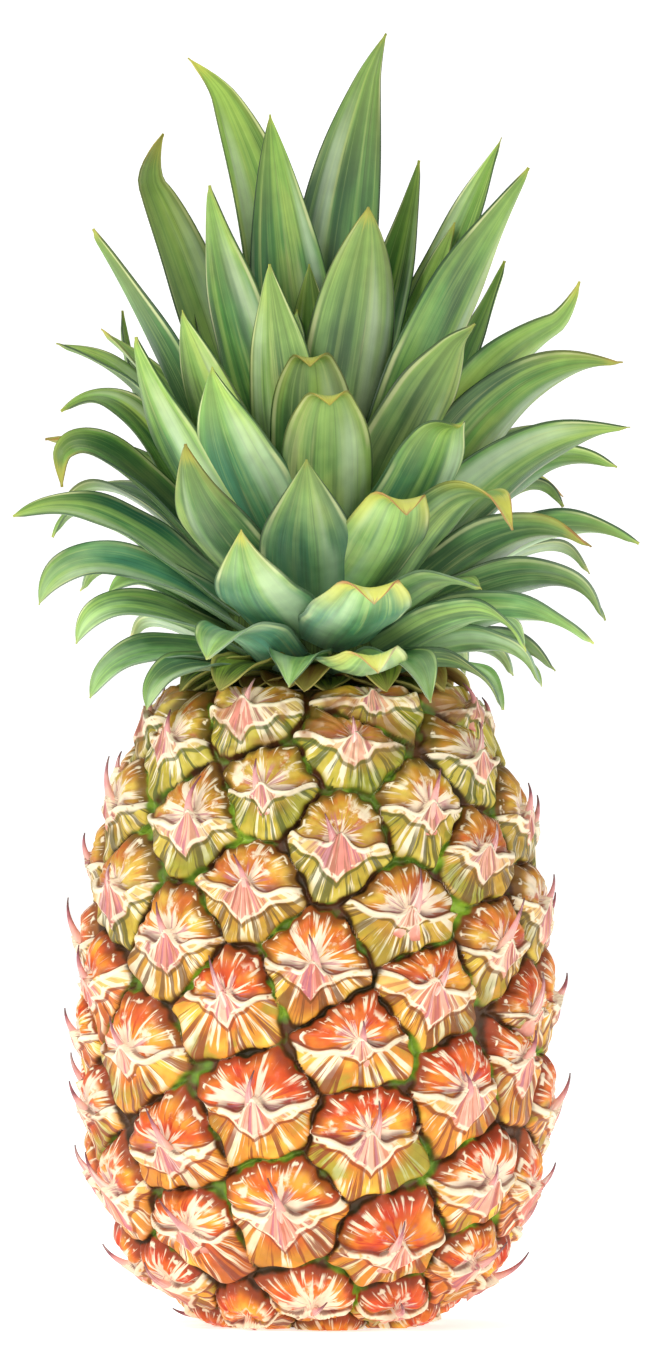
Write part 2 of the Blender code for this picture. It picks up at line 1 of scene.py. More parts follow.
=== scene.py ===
"""The looks of a pineapple that stands upright in a studio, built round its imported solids.

The skin of eyes, the spines, the crown of leaves and the cut end of the stalk are fine meshes made here. They
take the place of the plain solids, keep their form, and carry the values that their shaders read.
"""

import logging
import math
import random
from dataclasses import dataclass, field
from enum import Enum
from typing import NamedTuple

import bpy
import numpy as np
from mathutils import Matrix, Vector


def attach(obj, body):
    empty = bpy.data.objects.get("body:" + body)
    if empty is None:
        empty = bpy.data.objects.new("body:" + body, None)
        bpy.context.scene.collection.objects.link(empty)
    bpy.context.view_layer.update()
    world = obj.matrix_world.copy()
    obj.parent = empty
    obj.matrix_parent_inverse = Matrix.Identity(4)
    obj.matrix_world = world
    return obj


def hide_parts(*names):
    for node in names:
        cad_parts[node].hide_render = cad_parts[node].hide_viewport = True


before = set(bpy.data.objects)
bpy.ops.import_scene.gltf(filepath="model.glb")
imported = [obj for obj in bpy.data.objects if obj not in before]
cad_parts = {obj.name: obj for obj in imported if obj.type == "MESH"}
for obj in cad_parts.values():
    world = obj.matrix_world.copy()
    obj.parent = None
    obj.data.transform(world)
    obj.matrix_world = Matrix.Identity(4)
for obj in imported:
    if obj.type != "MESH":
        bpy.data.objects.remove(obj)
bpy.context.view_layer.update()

MM = 0.001
FULL_TURN = 2 * math.pi
UP = np.array([0.0, 0.0, 1.0])
TINY = 1e-9

# A colour as seen on screen: red, green and blue, 0 to 255
Colour = tuple[int, int, int]
Socket = bpy.types.NodeSocket

log = logging.getLogger("pineapple")


class Slot(Enum):
    """The record's material slots."""

    EYES = "eyes"
    LEAVES = "leaves"
    STALK_END = "stalk_end"


class Effect(Enum):
    """The effects that several finishes share, by the names of their node groups."""

    STROKES = "brush_strokes"
    WASH = "colour_wash"
    GRAIN = "fine_grain"


def linear(colour: Colour) -> tuple[float, ...]:
    """The linear values that shaders use for a colour."""
    shares = [channel / 255 for channel in colour]
    return tuple(s / 12.92 if s <= 0.04045 else ((s + 0.055) / 1.055) ** 2.4 for s in shares)


def smooth(value: np.ndarray, start: float, end: float) -> np.ndarray:
    """Rises smoothly from 0 at start to 1 at end; start may be the greater of the two."""
    share = np.clip((value - start) / (end - start), 0.0, 1.0)
    return share * share * (3 - 2 * share)


def bell(value: np.ndarray, centre: float, width: float) -> np.ndarray:
    """A bell curve, 1 at its centre."""
    return np.exp(-(((value - centre) / width) ** 2))


def unit(vectors: np.ndarray) -> np.ndarray:
    """Vectors with a length of one."""
    return vectors / np.maximum(np.linalg.norm(vectors, axis=-1, keepdims=True), TINY)


def around(turn: np.ndarray | float) -> np.ndarray:
    """Directions out from the axis, by their turn to the right of the front."""
    return np.stack([np.sin(turn), -np.cos(turn), 0 * turn], axis=-1)


def soft_noise(points: np.ndarray, size: float, seed: int) -> np.ndarray:
    """Smooth random values that change over a given distance in space.

    Args:
        points: Places, one in each row.
        size: Distance over which the values change, in the unit of the points.
        seed: Number of the pattern.

    Returns:
        A value from -1 to 1 for each point.
    """
    cell = points / size
    base = np.floor(cell).astype(np.int64)
    share = cell - base
    share = share * share * (3 - 2 * share)
    total = np.zeros(len(points))
    for step in np.ndindex(2, 2, 2):
        x, y, z = (base + np.array(step)).T
        mixed = x * 73856093 ^ y * 19349663 ^ z * 83492791 ^ seed * 2654435
        mixed = ((mixed & 0x7FFFFFFF) ^ ((mixed & 0x7FFFFFFF) >> 13)) * 1274126177 & 0x7FFFFFFF
        weight = np.prod(np.where(np.array(step) == 1, share, 1 - share), axis=1)
        total += weight * ((mixed % 100003) / 50001.5 - 1)
    return total


def woven(rows: int, columns: int, closed: bool = True) -> np.ndarray:
    """Four-sided faces over a grid of points.

    Args:
        rows: Rows of points.
        columns: Points in a row.
        closed: Whether the last column joins the first.

    Returns:
        Four point numbers in each row.
    """
    index = np.arange(rows * columns).reshape(rows, columns)
    beside = np.roll(index, -1, 1)
    if not closed:
        index, beside = index[:, :-1], beside[:, :-1]
    return np.stack([index[:-1], beside[:-1], beside[1:], index[1:]], axis=-1).reshape(-1, 4)


def mesh_piece(
    name: str,
    points: np.ndarray,
    faces: np.ndarray,
    values: dict[str, np.ndarray],
    material: bpy.types.Material,
    normals: np.ndarray | None = None,
) -> bpy.types.Object:
    """Makes an object from points and faces.

    Args:
        name: Name of the piece.
        points: Places in metres.
        faces: Four point numbers in each row; a row that repeats its last number is a triangle.
        values: What each point carries for the shader, by name.
        material: Finish of the piece.
        normals: The way each point faces, if that isn't left to the faces.

    Returns:
        The object, linked into the scene.
    """
    mesh = bpy.data.meshes.new(name)
    points = points.reshape(-1, 3)
    sizes = np.where(faces[:, 2] == faces[:, 3], 3, 4)
    keep = np.ones(faces.shape, bool)
    keep[sizes == 3, 3] = False
    corners = faces[keep]
    mesh.vertices.add(len(points))
    mesh.vertices.foreach_set("co", points.astype(np.float32).ravel())
    mesh.loops.add(len(corners))
    mesh.loops.foreach_set("vertex_index", corners.astype(np.int32))
    mesh.polygons.add(len(faces))
    mesh.polygons.foreach_set("loop_start", (np.cumsum(sizes) - sizes).astype(np.int32))
    mesh.update(calc_edges=True)
    mesh.shade_smooth()
    for key, value in values.items():
        layer = mesh.attributes.new(key, "FLOAT", "POINT")
        layer.data.foreach_set("value", value.astype(np.float32).ravel())
    if normals is not None:
        mesh.normals_split_custom_set_from_vertices(normals.reshape(-1, 3).tolist())
    mesh.materials.append(material)
    made = bpy.data.objects.new(name, mesh)
    bpy.context.scene.collection.objects.link(made)
    return made


def present(piece: bpy.types.Object, node: str) -> None:
    """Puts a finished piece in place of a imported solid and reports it.

    Args:
        piece: The finished piece.
        node: The solid that it stands for.
    """
    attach(piece, "root")
    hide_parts(node)
    log.info("%s: %d faces, for %s", piece.name, len(piece.data.polygons), node)


class Wire:
    """A value, vector or colour in a shader. What is reckoned with it adds the nodes for it."""

    def __init__(self, bench: "Bench", socket: Socket) -> None:
        """Takes an output on a bench."""
        self.bench, self.socket = bench, socket

    def __add__(self, other: "Given") -> "Wire":
        """The sum of two values."""
        return self.bench.math("ADD", self, other)

    def __sub__(self, other: "Given") -> "Wire":
        """The difference of two values."""
        return self.bench.math("SUBTRACT", self, other)

    def __rsub__(self, other: float) -> "Wire":
        """A number less this value."""
        return self.bench.math("SUBTRACT", other, self)

    def __mul__(self, other: "Given") -> "Wire":
        """The product of two values."""
        return self.bench.math("MULTIPLY", self, other)

    def __abs__(self) -> "Wire":
        """The value without its sign."""
        return self.bench.math("ABSOLUTE", self)

    def fraction(self, times: float) -> "Wire":
        """What a multiple of the value has past the point, a second random value from a seed."""
        return self.bench.math("FRACT", self * times)

    def span(self, start: "Given", end: "Given", low: float = 0.0, high: float = 1.0) -> "Wire":
        """Goes smoothly from one result to another.

        Args:
            start: The value at which the change starts, which may be the greater of the two.
            end: The value at which it ends.
            low: The result at the start and before it.
            high: The result at the end and past it.

        Returns:
            The result.
        """
        keys = ("Value", "From Min", "From Max", "To Min", "To Max")
        inputs = dict(zip(keys, (self, start, end, low, high)))
        return self.bench.add("MapRange", inputs, "Result", interpolation_type="SMOOTHSTEP")

    def band(self, rise: tuple[float, float], fall: tuple[float, float]) -> "Wire":
        """A mask that is 1 between a rise and a fall."""
        return self.span(*rise) * self.span(*reversed(fall))

    def along(self) -> "Wire":
        """The vector's direction, with a length of one."""
        return self.bench.add("VectorMath", {0: self}, operation="NORMALIZE")

    def fan(self, spread: float, offset: "Given") -> "Wire":
        """A direction as the vector of a noise that only changes round a middle, and with an offset.

        Args:
            spread: How often the noise changes round the middle.
            offset: What moves it on to another part.

        Returns:
            The vector for the noise.
        """
        wide = self.bench.add("VectorMath", {0: self, "Scale": spread}, operation="SCALE")
        lift = self.bench.vector(0.0, 0.0, offset)
        return self.bench.add("VectorMath", {0: wide, 1: lift}, operation="ADD")

    def ramp(self, *stops: tuple[float, Colour]) -> "Wire":
        """A colour for each value, between (value, colour) stops.

        Args:
            stops: Values with their colours, in order.

        Returns:
            The colour.
        """
        made = self.bench.add("ValToRGB", {0: self}, "Color")
        scale = made.socket.node.color_ramp.elements
        for k, (at, colour) in enumerate((stops[0], stops[-1], *stops[1:-1])):
            stop = scale[k] if k < 2 else scale.new(at)
            stop.position = at
            stop.color = (*linear(colour), 1.0)
        return made

    def under(self, over: "Given", share: "Given") -> "Wire":
        """This colour with another laid over it by a mask."""
        return self.bench.mix(self, over, share)

    def shaded(self, shade: "Wire") -> "Wire":
        """The colour made lighter or darker by a value about 1."""
        return self.bench.add("VectorMath", {0: self, "Scale": shade}, operation="SCALE")


Given = Wire | float | Colour


@dataclass
class Bench:
    """Lays out shader nodes in a tree and wires them together."""

    tree: bpy.types.NodeTree

    def feed(self, socket: Socket, value: Given) -> None:
        """Links a socket to a wire, or sets it to a value.

        Args:
            socket: The socket.
            value: The wire or the value.
        """
        if isinstance(value, Wire):
            self.tree.links.new(value.socket, socket)
        else:
            socket.default_value = (*linear(value), 1.0) if socket.type == "RGBA" else value

    def add(
        self, kind: str, inputs: dict[str | int, Given], output: str | int = 0, **settings: object
    ) -> Wire:
        """Adds a node and feeds it.

        Args:
            kind: Its kind, as Blender names it after ShaderNode.
            inputs: What its inputs get, by name or number.
            output: Which output is taken.
            settings: Its own settings, by name.

        Returns:
            The output.
        """
        made = self.tree.nodes.new(f"ShaderNode{kind}")
        for name, value in settings.items():
            setattr(made, name, value)
        for key, value in inputs.items():
            self.feed(made.inputs[key], value)
        return Wire(self, made.outputs[output])

    def math(self, operation: str, first: Given, second: Given = 0.0) -> Wire:
        """One sum on two values, such as ADD or MULTIPLY."""
        return self.add("Math", {0: first, 1: second}, operation=operation)

    def read(self, name: str) -> Wire:
        """The value that the points of the mesh carry under a name."""
        return self.add("Attribute", {}, "Fac", attribute_name=name)

    def place(self) -> Wire:
        """The place on the object."""
        return self.add("TexCoord", {}, "Object")

    def height(self) -> Wire:
        """The height over the floor."""
        return self.add("SeparateXYZ", {0: self.place()}, "Z")

    def vector(self, x: Given, y: Given, z: Given) -> Wire:
        """A vector from three values."""
        return self.add("CombineXYZ", {0: x, 1: y, 2: z})

    def noise(self, vector: Wire, scale: Given, detail: float = 2.0, rough: float = 0.55) -> Wire:
        """A noise from 0 to 1, about 0.5 in the middle."""
        inputs = {"Vector": vector, "Scale": scale, "Detail": detail, "Roughness": rough}
        return self.add("TexNoise", inputs, "Fac")

    def mottle(self, scale: float, detail: float = 2.0) -> Wire:
        """A noise that hangs on the place alone."""
        return self.noise(self.place(), scale, detail)

    def mix(self, under: Given, over: Given, share: Given) -> Wire:
        """One colour laid over another by a mask."""
        return self.add("Mix", {0: share, 6: under, 7: over}, 2, data_type="RGBA")

    def effect(self, effect: Effect, **inputs: Given) -> Wire:
        """Places a shared effect."""
        return self.add("Group", inputs, node_tree=bpy.data.node_groups[effect.value])

    def strokes(self, vector: Wire, coverage: float, softness: float) -> Wire:
        """A mask of brush-like strokes that follow a vector."""
        return self.effect(Effect.STROKES, Vector=vector, Coverage=coverage, Softness=softness)

    def wash(self, scale: float, depth: float) -> Wire:
        """A value about 1 that lightens and darkens in soft pools."""
        return self.effect(Effect.WASH, Vector=self.place(), Scale=scale, Depth=depth)

    def grain(self, scale: float) -> Wire:
        """A height of fine grain."""
        return self.effect(Effect.GRAIN, Vector=self.place(), Scale=scale)


class Effects:
    """Builds the shared effects, each one a node group built once."""

    def __init__(self) -> None:
        """Builds the groups."""
        self.build_strokes()
        self.build_wash()
        self.build_grain()

    @staticmethod
    def start(effect: Effect, output: str, **inputs: float) -> tuple[Bench, list[Wire], Socket]:
        """Starts a group, whose first input is a vector.

        Args:
            effect: The effect.
            output: Name of the one output.
            inputs: First value of each further input, by name.

        Returns:
            The bench, the inputs and the output's socket.
        """
        tree = bpy.data.node_groups.new(effect.value, "ShaderNodeTree")
        tree.interface.new_socket(name="Vector", in_out="INPUT", socket_type="NodeSocketVector")
        for key, value in inputs.items():
            made = tree.interface.new_socket(name=key, in_out="INPUT", socket_type="NodeSocketFloat")
            made.default_value = value
        tree.interface.new_socket(name=output, in_out="OUTPUT", socket_type="NodeSocketFloat")
        bench = Bench(tree)
        given = tree.nodes.new("NodeGroupInput").outputs
        wires = [Wire(bench, given[k]) for k in range(len(inputs) + 1)]
        return bench, wires, tree.nodes.new("NodeGroupOutput").inputs[0]

    def build_strokes(self) -> None:
        """Strokes: a noise cut to a mask."""
        bench, wires, mask = self.start(Effect.STROKES, "Mask", Coverage=0.5, Softness=0.06)
        vector, coverage, softness = wires
        line = 1.0 - coverage
        bench.feed(mask, bench.noise(vector, 1.0, 4.0, 0.6).span(line - softness, line + softness))

    def build_wash(self) -> None:
        """Wash: broad pools with finer mottling in them."""
        bench, (vector, scale, depth), shade = self.start(Effect.WASH, "Shade", Scale=60.0, Depth=0.3)
        pooled = bench.noise(vector, scale, 3.0, 0.6) * 0.7 + bench.noise(vector, scale * 5.0, 2.0, 0.5) * 0.3
        bench.feed(shade, (pooled.span(0.3, 0.7) - 0.5) * depth + 1.0)

    def build_grain(self) -> None:
        """Grain: fine and finer noise."""
        bench, (vector, scale), height = self.start(Effect.GRAIN, "Height", Scale=900.0)
        bench.feed(height, bench.noise(vector, scale, 3.0, 0.65))


@dataclass(frozen=True)
class Finish:
    """What every finish has: its name and what its shader's own sockets are set to.

    Attributes:
        name: Name of the material.
        specular: Strength of the mirror-like reflection.
        coat: Weight of the thin clear coat.
        bump: Depth of the bump in metres.
        glow: Strength of its own white light.
    """

    name: str
    specular: float
    bump: float
    coat: float = 0.0
    glow: float = 0.0

    def paint(self, bench: Bench) -> tuple[Wire, Given, Wire]:
        """The colour, the roughness and the height of the bump, which each finish lays out its own way."""
        raise NotImplementedError

    def make(self) -> bpy.types.Material:
        """Makes the material.

        Returns:
            The material.
        """
        made = bpy.data.materials.new(self.name)
        made.use_nodes = True
        bench = Bench(made.node_tree)
        sockets = made.node_tree.nodes["Principled BSDF"].inputs
        sockets["Specular IOR Level"].default_value = self.specular
        sockets["Coat Weight"].default_value = self.coat
        sockets["Emission Color"].default_value = (1.0, 1.0, 1.0, 1.0)
        sockets["Emission Strength"].default_value = self.glow
        colour, rough, height = self.paint(bench)
        bench.feed(sockets["Base Color"], colour)
        bench.feed(sockets["Roughness"], rough)
        bench.feed(sockets["Normal"], bench.add("Bump", {"Distance": self.bump, "Height": height}))
        return made


class EyeMarks(NamedTuple):
    """What the points of the fruit's skin carry.

    Attributes:
        share: How far out in its eye a point lies, 1 at the groove.
        across: How far right of the eye's middle.
        up: How far above it.
        ledge: How far above the bract's edge.
        star: Whether it lies on the star-shaped middle of the bract.
        green: How unripe the eye is.
        blush: How red its deep strokes are.
        seed: The eye's own random value.
        tone: A second one.
    """

    share: Wire
    across: Wire
    up: Wire
    ledge: Wire
    star: Wire
    green: Wire
    blush: Wire
    seed: Wire
    tone: Wire


@dataclass(frozen=True)
class EyeSkin(Finish):
    """Finish of the eyes: domes and bracts, painted from what the skin's points carry.

    Attributes:
        cream: The pale strokes and rims, and the painted highlights on the domes.
        red: The deep accents of the ripe eyes.
        groove: The dark grooves.
        moss: The bits of green in the grooves.
        plum: The painted shade in the hollow over each bract's edge.
        pink: The middle of the bracts.
        lilac: The cool strokes round the middle.
        husk: The dry patches near the crown.
    """

    name: str = "eye_skin"
    specular: float = 0.35
    coat: float = 0.06
    bump: float = 0.12 * MM
    cream: Colour = (253, 238, 206)
    red: Colour = (190, 40, 14)
    groove: Colour = (54, 44, 16)
    moss: Colour = (94, 124, 34)
    plum: Colour = (112, 56, 62)
    pink: Colour = (224, 132, 118)
    lilac: Colour = (188, 108, 124)
    husk: Colour = (158, 92, 46)

    def dome(self, bench: Bench, m: EyeMarks) -> Wire:
        """Colour of the puffed upper half of an eye, with painted highlights on it and painted shade round
        its edge.

        Args:
            bench: Where the nodes go.
            m: What the points carry.

        Returns:
            The colour.
        """
        way = bench.vector(m.across, m.up, 0.0).along()
        turn = m.seed * 37.0 + m.share * 0.9
        tone = bench.noise(bench.vector(m.across * 1.5, m.up * 1.5, m.seed * 71.0), 1.0, 3.0, 0.5)
        ripe = tone.ramp(
            (0.3, (206, 62, 24)), (0.42, (226, 96, 24)), (0.53, (234, 138, 30)), (0.68, (246, 196, 62))
        )
        young = tone.ramp(
            (0.3, (170, 92, 34)), (0.42, (188, 132, 40)), (0.54, (196, 160, 52)), (0.68, (218, 194, 88))
        )
        colour = ripe.under((212, 70, 28), m.tone * m.up.span(0.15, 0.6) * 0.85).under(young, m.green)
        deep = bench.strokes(way.fan(3.0, turn), 0.42, 0.03) * m.share.band((0.2, 0.4), (0.7, 0.9))
        colour = colour.under(self.red, deep * m.blush * 0.8)
        # Darker towards the groove round the dome's edge: painted shade where the dome curves down into the
        # groove.
        outline = bench.mix((140, 52, 18), (96, 80, 22), m.green)
        colour = colour.under(outline, m.share.span(0.74, 0.9) * 0.88)
        # Soft cream blobs on the dome: painted highlights.
        highlight_blobs = bench.strokes(bench.vector(m.across * 2.6, m.up * 2.6, m.seed * 91.0), 0.4, 0.05)
        colour = colour.under(self.cream, highlight_blobs * m.share.band((0.1, 0.3), (0.7, 0.84)) * 0.8)
        teeth = bench.strokes(way.fan(9.0, turn + 5.0), 0.42, 0.03)
        colour = colour.under(self.cream, teeth * m.share.band((0.6, 0.78), (0.88, 0.93)) * 0.8)
        rays = bench.noise(way.fan(3.2, m.seed * 19.0), 1.0, 3.0, 0.65)
        reach = m.share + (rays - 0.5) * 2.2
        size = m.seed.fraction(5.0).span(0.0, 1.0, 0.22, 0.56)
        colour = colour.under((252, 232, 202), (reach - size).span(0.07, -0.03) * 0.92)
        rosy = bench.strokes(way.fan(5.0, turn + 23.0), 0.44, 0.03)
        colour = colour.under(self.lilac, rosy * m.share.band((0.02, 0.14), (0.4, 0.6)) * 0.7)
        rim = m.share.band((0.83, 0.86), (0.89, 0.92)) * bench.mottle(320.0).span(0.56, 0.62)
        return colour.under(self.cream, rim * 0.9)

    def bract(self, bench: Bench, m: EyeMarks) -> Wire:
        """Colour of the bract that covers the lower half of an eye, with a painted shadow round its
        star-shaped middle.

        Args:
            bench: Where the nodes go.
            m: What the points carry.

        Returns:
            The colour.
        """
        wide = abs(m.across)
        tone = bench.noise(bench.vector(m.across * 1.3, m.up * 1.3, m.seed * 43.0), 1.0, 3.0, 0.5)
        ripe = tone.ramp(
            (0.32, (196, 76, 24)), (0.43, (216, 106, 30)), (0.54, (228, 144, 40)), (0.68, (246, 206, 74))
        )
        young = tone.ramp(
            (0.34, (138, 110, 34)), (0.45, (166, 142, 40)), (0.55, (188, 170, 52)), (0.66, (214, 198, 84))
        )
        way = bench.vector(m.across, m.up - 0.3, 0.0).along()
        turn = m.seed * 53.0 + m.share * 0.5
        pale = bench.strokes(way.fan(7.0, turn), 0.46, 0.02)
        colour = ripe.under(young, m.green).under(self.cream, pale * m.share.span(1.0, 0.8) * 0.9)
        fresh = tone.span(0.54, 0.46) * m.share.span(0.45, 0.8) * m.tone * 0.75
        colour = colour.under((150, 164, 46), fresh)
        # Dark colour of the bract's strokes, also used for the painted shadow round the star.
        shade = bench.mix((136, 50, 18), (76, 88, 26), m.green)
        dark = bench.strokes(way.fan(8.0, turn + 9.0), 0.455, 0.03)
        colour = colour.under(shade, dark * m.share.span(0.35, 0.7) * 0.85)
        heart = bench.mix(self.pink, (246, 190, 160), m.tone)
        wings = bench.mix((244, 186, 96), (222, 194, 116), m.green)
        star = heart.under(wings, wide.span(0.16, 0.6))
        star = star.under(self.cream, pale * wide.span(0.0, 0.25, 0.5, 0.8))
        rosy = bench.strokes(way.fan(6.0, turn + 31.0), 0.45, 0.03)
        star = star.under(self.lilac, rosy * wide.span(0.7, 0.3) * 0.85)
        star = star.under(bench.mix((186, 84, 36), (146, 96, 56), m.green), dark * 0.6)
        # A dark band just outside the star's edge: painted shadow under its raised ridge.
        colour = colour.under(shade, m.star.band((0.0, 0.08), (0.3, 0.55)) * 0.75)
        colour = colour.under(star, m.star.span(0.35, 0.6))
        ridge = m.star.band((0.4, 0.62), (0.9, 1.0)) * bench.mottle(330.0).span(0.42, 0.5)
        colour = colour.under(self.cream, ridge * 0.85)
        rim = m.ledge.band((-0.12, -0.08), (0.0, 0.02)) * bench.mottle(210.0).span(0.36, 0.46)
        return colour.under(self.cream, rim * 0.95)

    def paint(self, bench: Bench) -> tuple[Wire, Given, Wire]:
        """Joins dome and bract, and adds painted shade in the hollow between them and along the bract's edge,
        the dry patches and the grooves.

        Args:
            bench: Where the nodes go.

        Returns:
            The colour, the roughness and the height of the bump.
        """
        m = EyeMarks(*map(bench.read, EyeMarks._fields))
        colour = self.dome(bench, m).under(self.bract(bench, m), m.ledge.span(0.03, -0.01))
        wide = abs(m.across)
        # The plum colour in the hollow over the bract's edge is painted shade.
        hollow = m.ledge.band((-0.005, 0.03), (0.07, 0.2)) * wide.band((0.08, 0.2), (0.55, 0.85))
        colour = colour.under(self.plum, hollow * bench.mottle(60.0).span(0.4, 0.6, 0.15, 0.7))
        # A thin dark line just above the bract's edge: painted shade under its lip.
        drawn = m.ledge.band((-0.005, 0.012), (0.03, 0.06)) * wide.span(0.14, 0.22)
        colour = colour.under((110, 50, 30), drawn * 0.65)
        dry = bench.height().span(0.138, 0.16) * bench.mottle(75.0, 3.0).span(0.5, 0.6)
        colour = colour.under(self.husk, dry * 0.7)
        edge = (m.share + (bench.mottle(300.0, 3.0) - 0.5) * 0.06).span(0.935, 0.98)
        groove = bench.mottle(80.0, 3.0).ramp(
            (0.36, self.groove), (0.5, (88, 48, 18)), (0.57, self.moss), (0.68, (158, 192, 56))
        )
        shade = bench.wash(90.0, 0.3) * m.green.span(0.0, 0.6, 0.98, 0.94)
        grain = bench.grain(700.0)
        return colour.under(groove, edge).shaded(shade), grain.span(0.3, 0.7, 0.42, 0.6), grain


@dataclass(frozen=True)
class SpineSkin(Finish):
    """Finish of the spines: cream and pink at the root, purple-brown at the tip."""

    name: str = "spine_skin"
    specular: float = 0.35
    bump: float = 0.05 * MM

    def paint(self, bench: Bench) -> tuple[Wire, Given, Wire]:
        """Runs the colours along the spine, with pale streaks.

        Args:
            bench: Where the nodes go.

        Returns:
            The colour, the roughness and the height of the bump.
        """
        along = bench.read("along")
        reach = along + (bench.mottle(300.0) - 0.5) * 0.5
        root = (0.0, (232, 150, 130)), (0.3, (242, 190, 168))
        tip = (0.55, (224, 156, 152)), (0.8, (156, 88, 100)), (1.0, (84, 46, 50))
        lines = bench.vector(bench.read("round") * 2.5, along, bench.read("seed") * 40.0)
        streak = bench.strokes(lines, 0.42, 0.06)
        colour = reach.ramp(*root, *tip).under((253, 242, 226), streak * 0.6)
        grain = bench.grain(1200.0)
        colour = colour.under((104, 64, 60), reach.span(0.75, 1.0) * 0.7)
        return colour, grain.span(0.3, 0.7, 0.4, 0.55), grain


class LeafMarks(NamedTuple):
    """What the points of a leaf carry: their place on it, and what is the leaf's own."""

    along: Wire
    across: Wire
    under: Wire
    seed: Wire
    pale: Wire
    blue: Wire
    burnt: Wire


@dataclass(frozen=True)
class LeafSkin(Finish):
    """Finish of the crown's leaves: green with long streaks, a pale margin and a dark edge.

    Attributes:
        deep: The darkest green, also laid near the root as painted shade.
        mid: The green of most of the blade.
        bright: The sunlit yellow-green streaks.
        sea: The blue-green of the low leaves in the middle.
        straw: The pale streaks.
        rust: The dried ends of the tips.
        gold: The yellowed stretch before them.
    """

    name: str = "leaf_skin"
    specular: float = 0.4
    coat: float = 0.05
    bump: float = 0.15 * MM
    deep: Colour = (20, 74, 40)
    mid: Colour = (70, 136, 60)
    bright: Colour = (116, 168, 76)
    sea: Colour = (44, 142, 124)
    straw: Colour = (220, 222, 142)
    rust: Colour = (150, 66, 38)
    gold: Colour = (188, 186, 72)

    def blade(self, bench: Bench, m: LeafMarks, streaks: Wire) -> Wire:
        """Colour of the blade without its edges.

        Args:
            bench: Where the nodes go.
            m: What the points carry.
            streaks: The fine fibres along the leaf.

        Returns:
            The colour.
        """
        number = m.seed * 61.0
        # One side of each blade, picked by its seed, is the lit side: painted light makes it a little paler.
        lit = m.across * bench.math("SIGN", m.seed.fraction(13.0) - 0.5)
        pools = bench.noise(bench.vector(m.across * 0.9, m.along * 2.4, number), 1.0, 3.0) + lit * 0.08
        ends = (0.34, (30, 84, 40)), (0.68, (176, 202, 96))
        colour = pools.ramp(ends[0], (0.46, self.mid), (0.57, self.bright), ends[1])
        colour = colour.under((184, 204, 120), m.pale * 0.7)
        bands = bench.noise(bench.vector(m.across * 2.2, m.along * 0.6, number), 1.0)
        colour = colour.under((172, 204, 96), bands.span(0.5, 0.66) * 0.55)
        colour = colour.under(self.deep, bands.span(0.5, 0.36) * 0.7)
        cool = m.blue * m.along.span(1.0, 0.4) * bands.span(0.3, 0.6, 0.95, 0.65)
        colour = colour.under(self.sea, cool).under((190, 214, 124), streaks.span(0.5, 0.66) * 0.3)
        colour = colour.under(self.deep, streaks.span(0.5, 0.36) * 0.5)
        # A pale band on the lit side, broken up by the glint noise: painted highlight.
        lit_side_highlight = lit.band((0.1, 0.45), (0.75, 0.95)) * m.along.band((0.1, 0.35), (0.75, 0.95))
        glint = bench.noise(bench.vector(m.across * 1.6, m.along, number), 1.0).span(0.42, 0.6)
        colour = colour.under((206, 226, 190), lit_side_highlight * glint * 0.6)
        drawn = bench.strokes(bench.vector(m.across * 5.0, m.along * 1.1, number + 7.0), 0.36, 0.05)
        colour = colour.under(self.straw, drawn * 0.3)
        # Darker towards the root, less so on the blue-green leaves: painted shade where the leaves crowd
        # together.
        colour = colour.under(self.deep, m.along.span(0.4, 0.1) * m.blue.span(0.0, 1.0, 0.65, 0.3))
        colour = colour.under((158, 188, 66), m.along.span(0.6, 0.97) * 0.4)
        return colour.under((150, 176, 120), m.under * 0.12), pools

    def paint(self, bench: Bench) -> tuple[Wire, Given, Wire]:
        """Adds the margins, the dried tip and the bloom of the low leaves to the blade, and lightens the low
        leaves with painted light.

        Args:
            bench: Where the nodes go.

        Returns:
            The colour, the roughness and the height of the bump.
        """
        m = LeafMarks(*map(bench.read, LeafMarks._fields))
        number, wide = m.seed * 61.0, abs(m.across)
        streaks = bench.noise(bench.vector(m.across * 9.0, m.along * 0.8, number), 1.0, 4.0, 0.7)
        colour, pools = self.blade(bench, m, streaks)
        margin = wide.band((0.84, 0.9), (0.94, 0.98)) * m.along.span(0.15, 0.4)
        worn = bench.noise(bench.vector(m.across, m.along * 3.0, number), 1.0).span(0.4, 0.62)
        colour = colour.under((226, 228, 168), margin * worn * 0.65)
        colour = colour.under((28, 62, 28), wide.span(0.94, 0.985) * 0.85)
        tip = m.along + (streaks - 0.5) * 0.12
        dried = m.burnt * -0.13 + 0.985
        gold = (tip - dried).span(-0.02, 0.03)
        fringe = (m.along - dried).span(-0.3, 0.0) * wide.span(0.55, 0.85) * m.burnt
        colour = colour.under(self.gold, fringe).under(self.gold, gold * 0.9)
        rust = bench.math("MAXIMUM", tip.span(0.98, 1.0), gold * wide.span(0.86, 0.95))
        colour = colour.under(self.rust, rust * m.burnt)
        height = bench.height()
        bloom = height.span(0.235, 0.17) * pools.span(0.4, 0.6, 0.12, 0.4)
        shade = bench.wash(45.0, 0.3) * m.seed.fraction(7.0).span(0.0, 1.0, 0.7, 1.12)
        # The low leaves get a pale bloom and are lightened up to 1.4 times: painted light that lifts the
        # shade there.
        colour = colour.under((168, 190, 168), bloom).shaded(shade * height.span(0.16, 0.23, 1.4, 1.0))
        return colour, streaks.span(0.3, 0.7, 0.36, 0.5), streaks + bench.grain(900.0) * 0.3


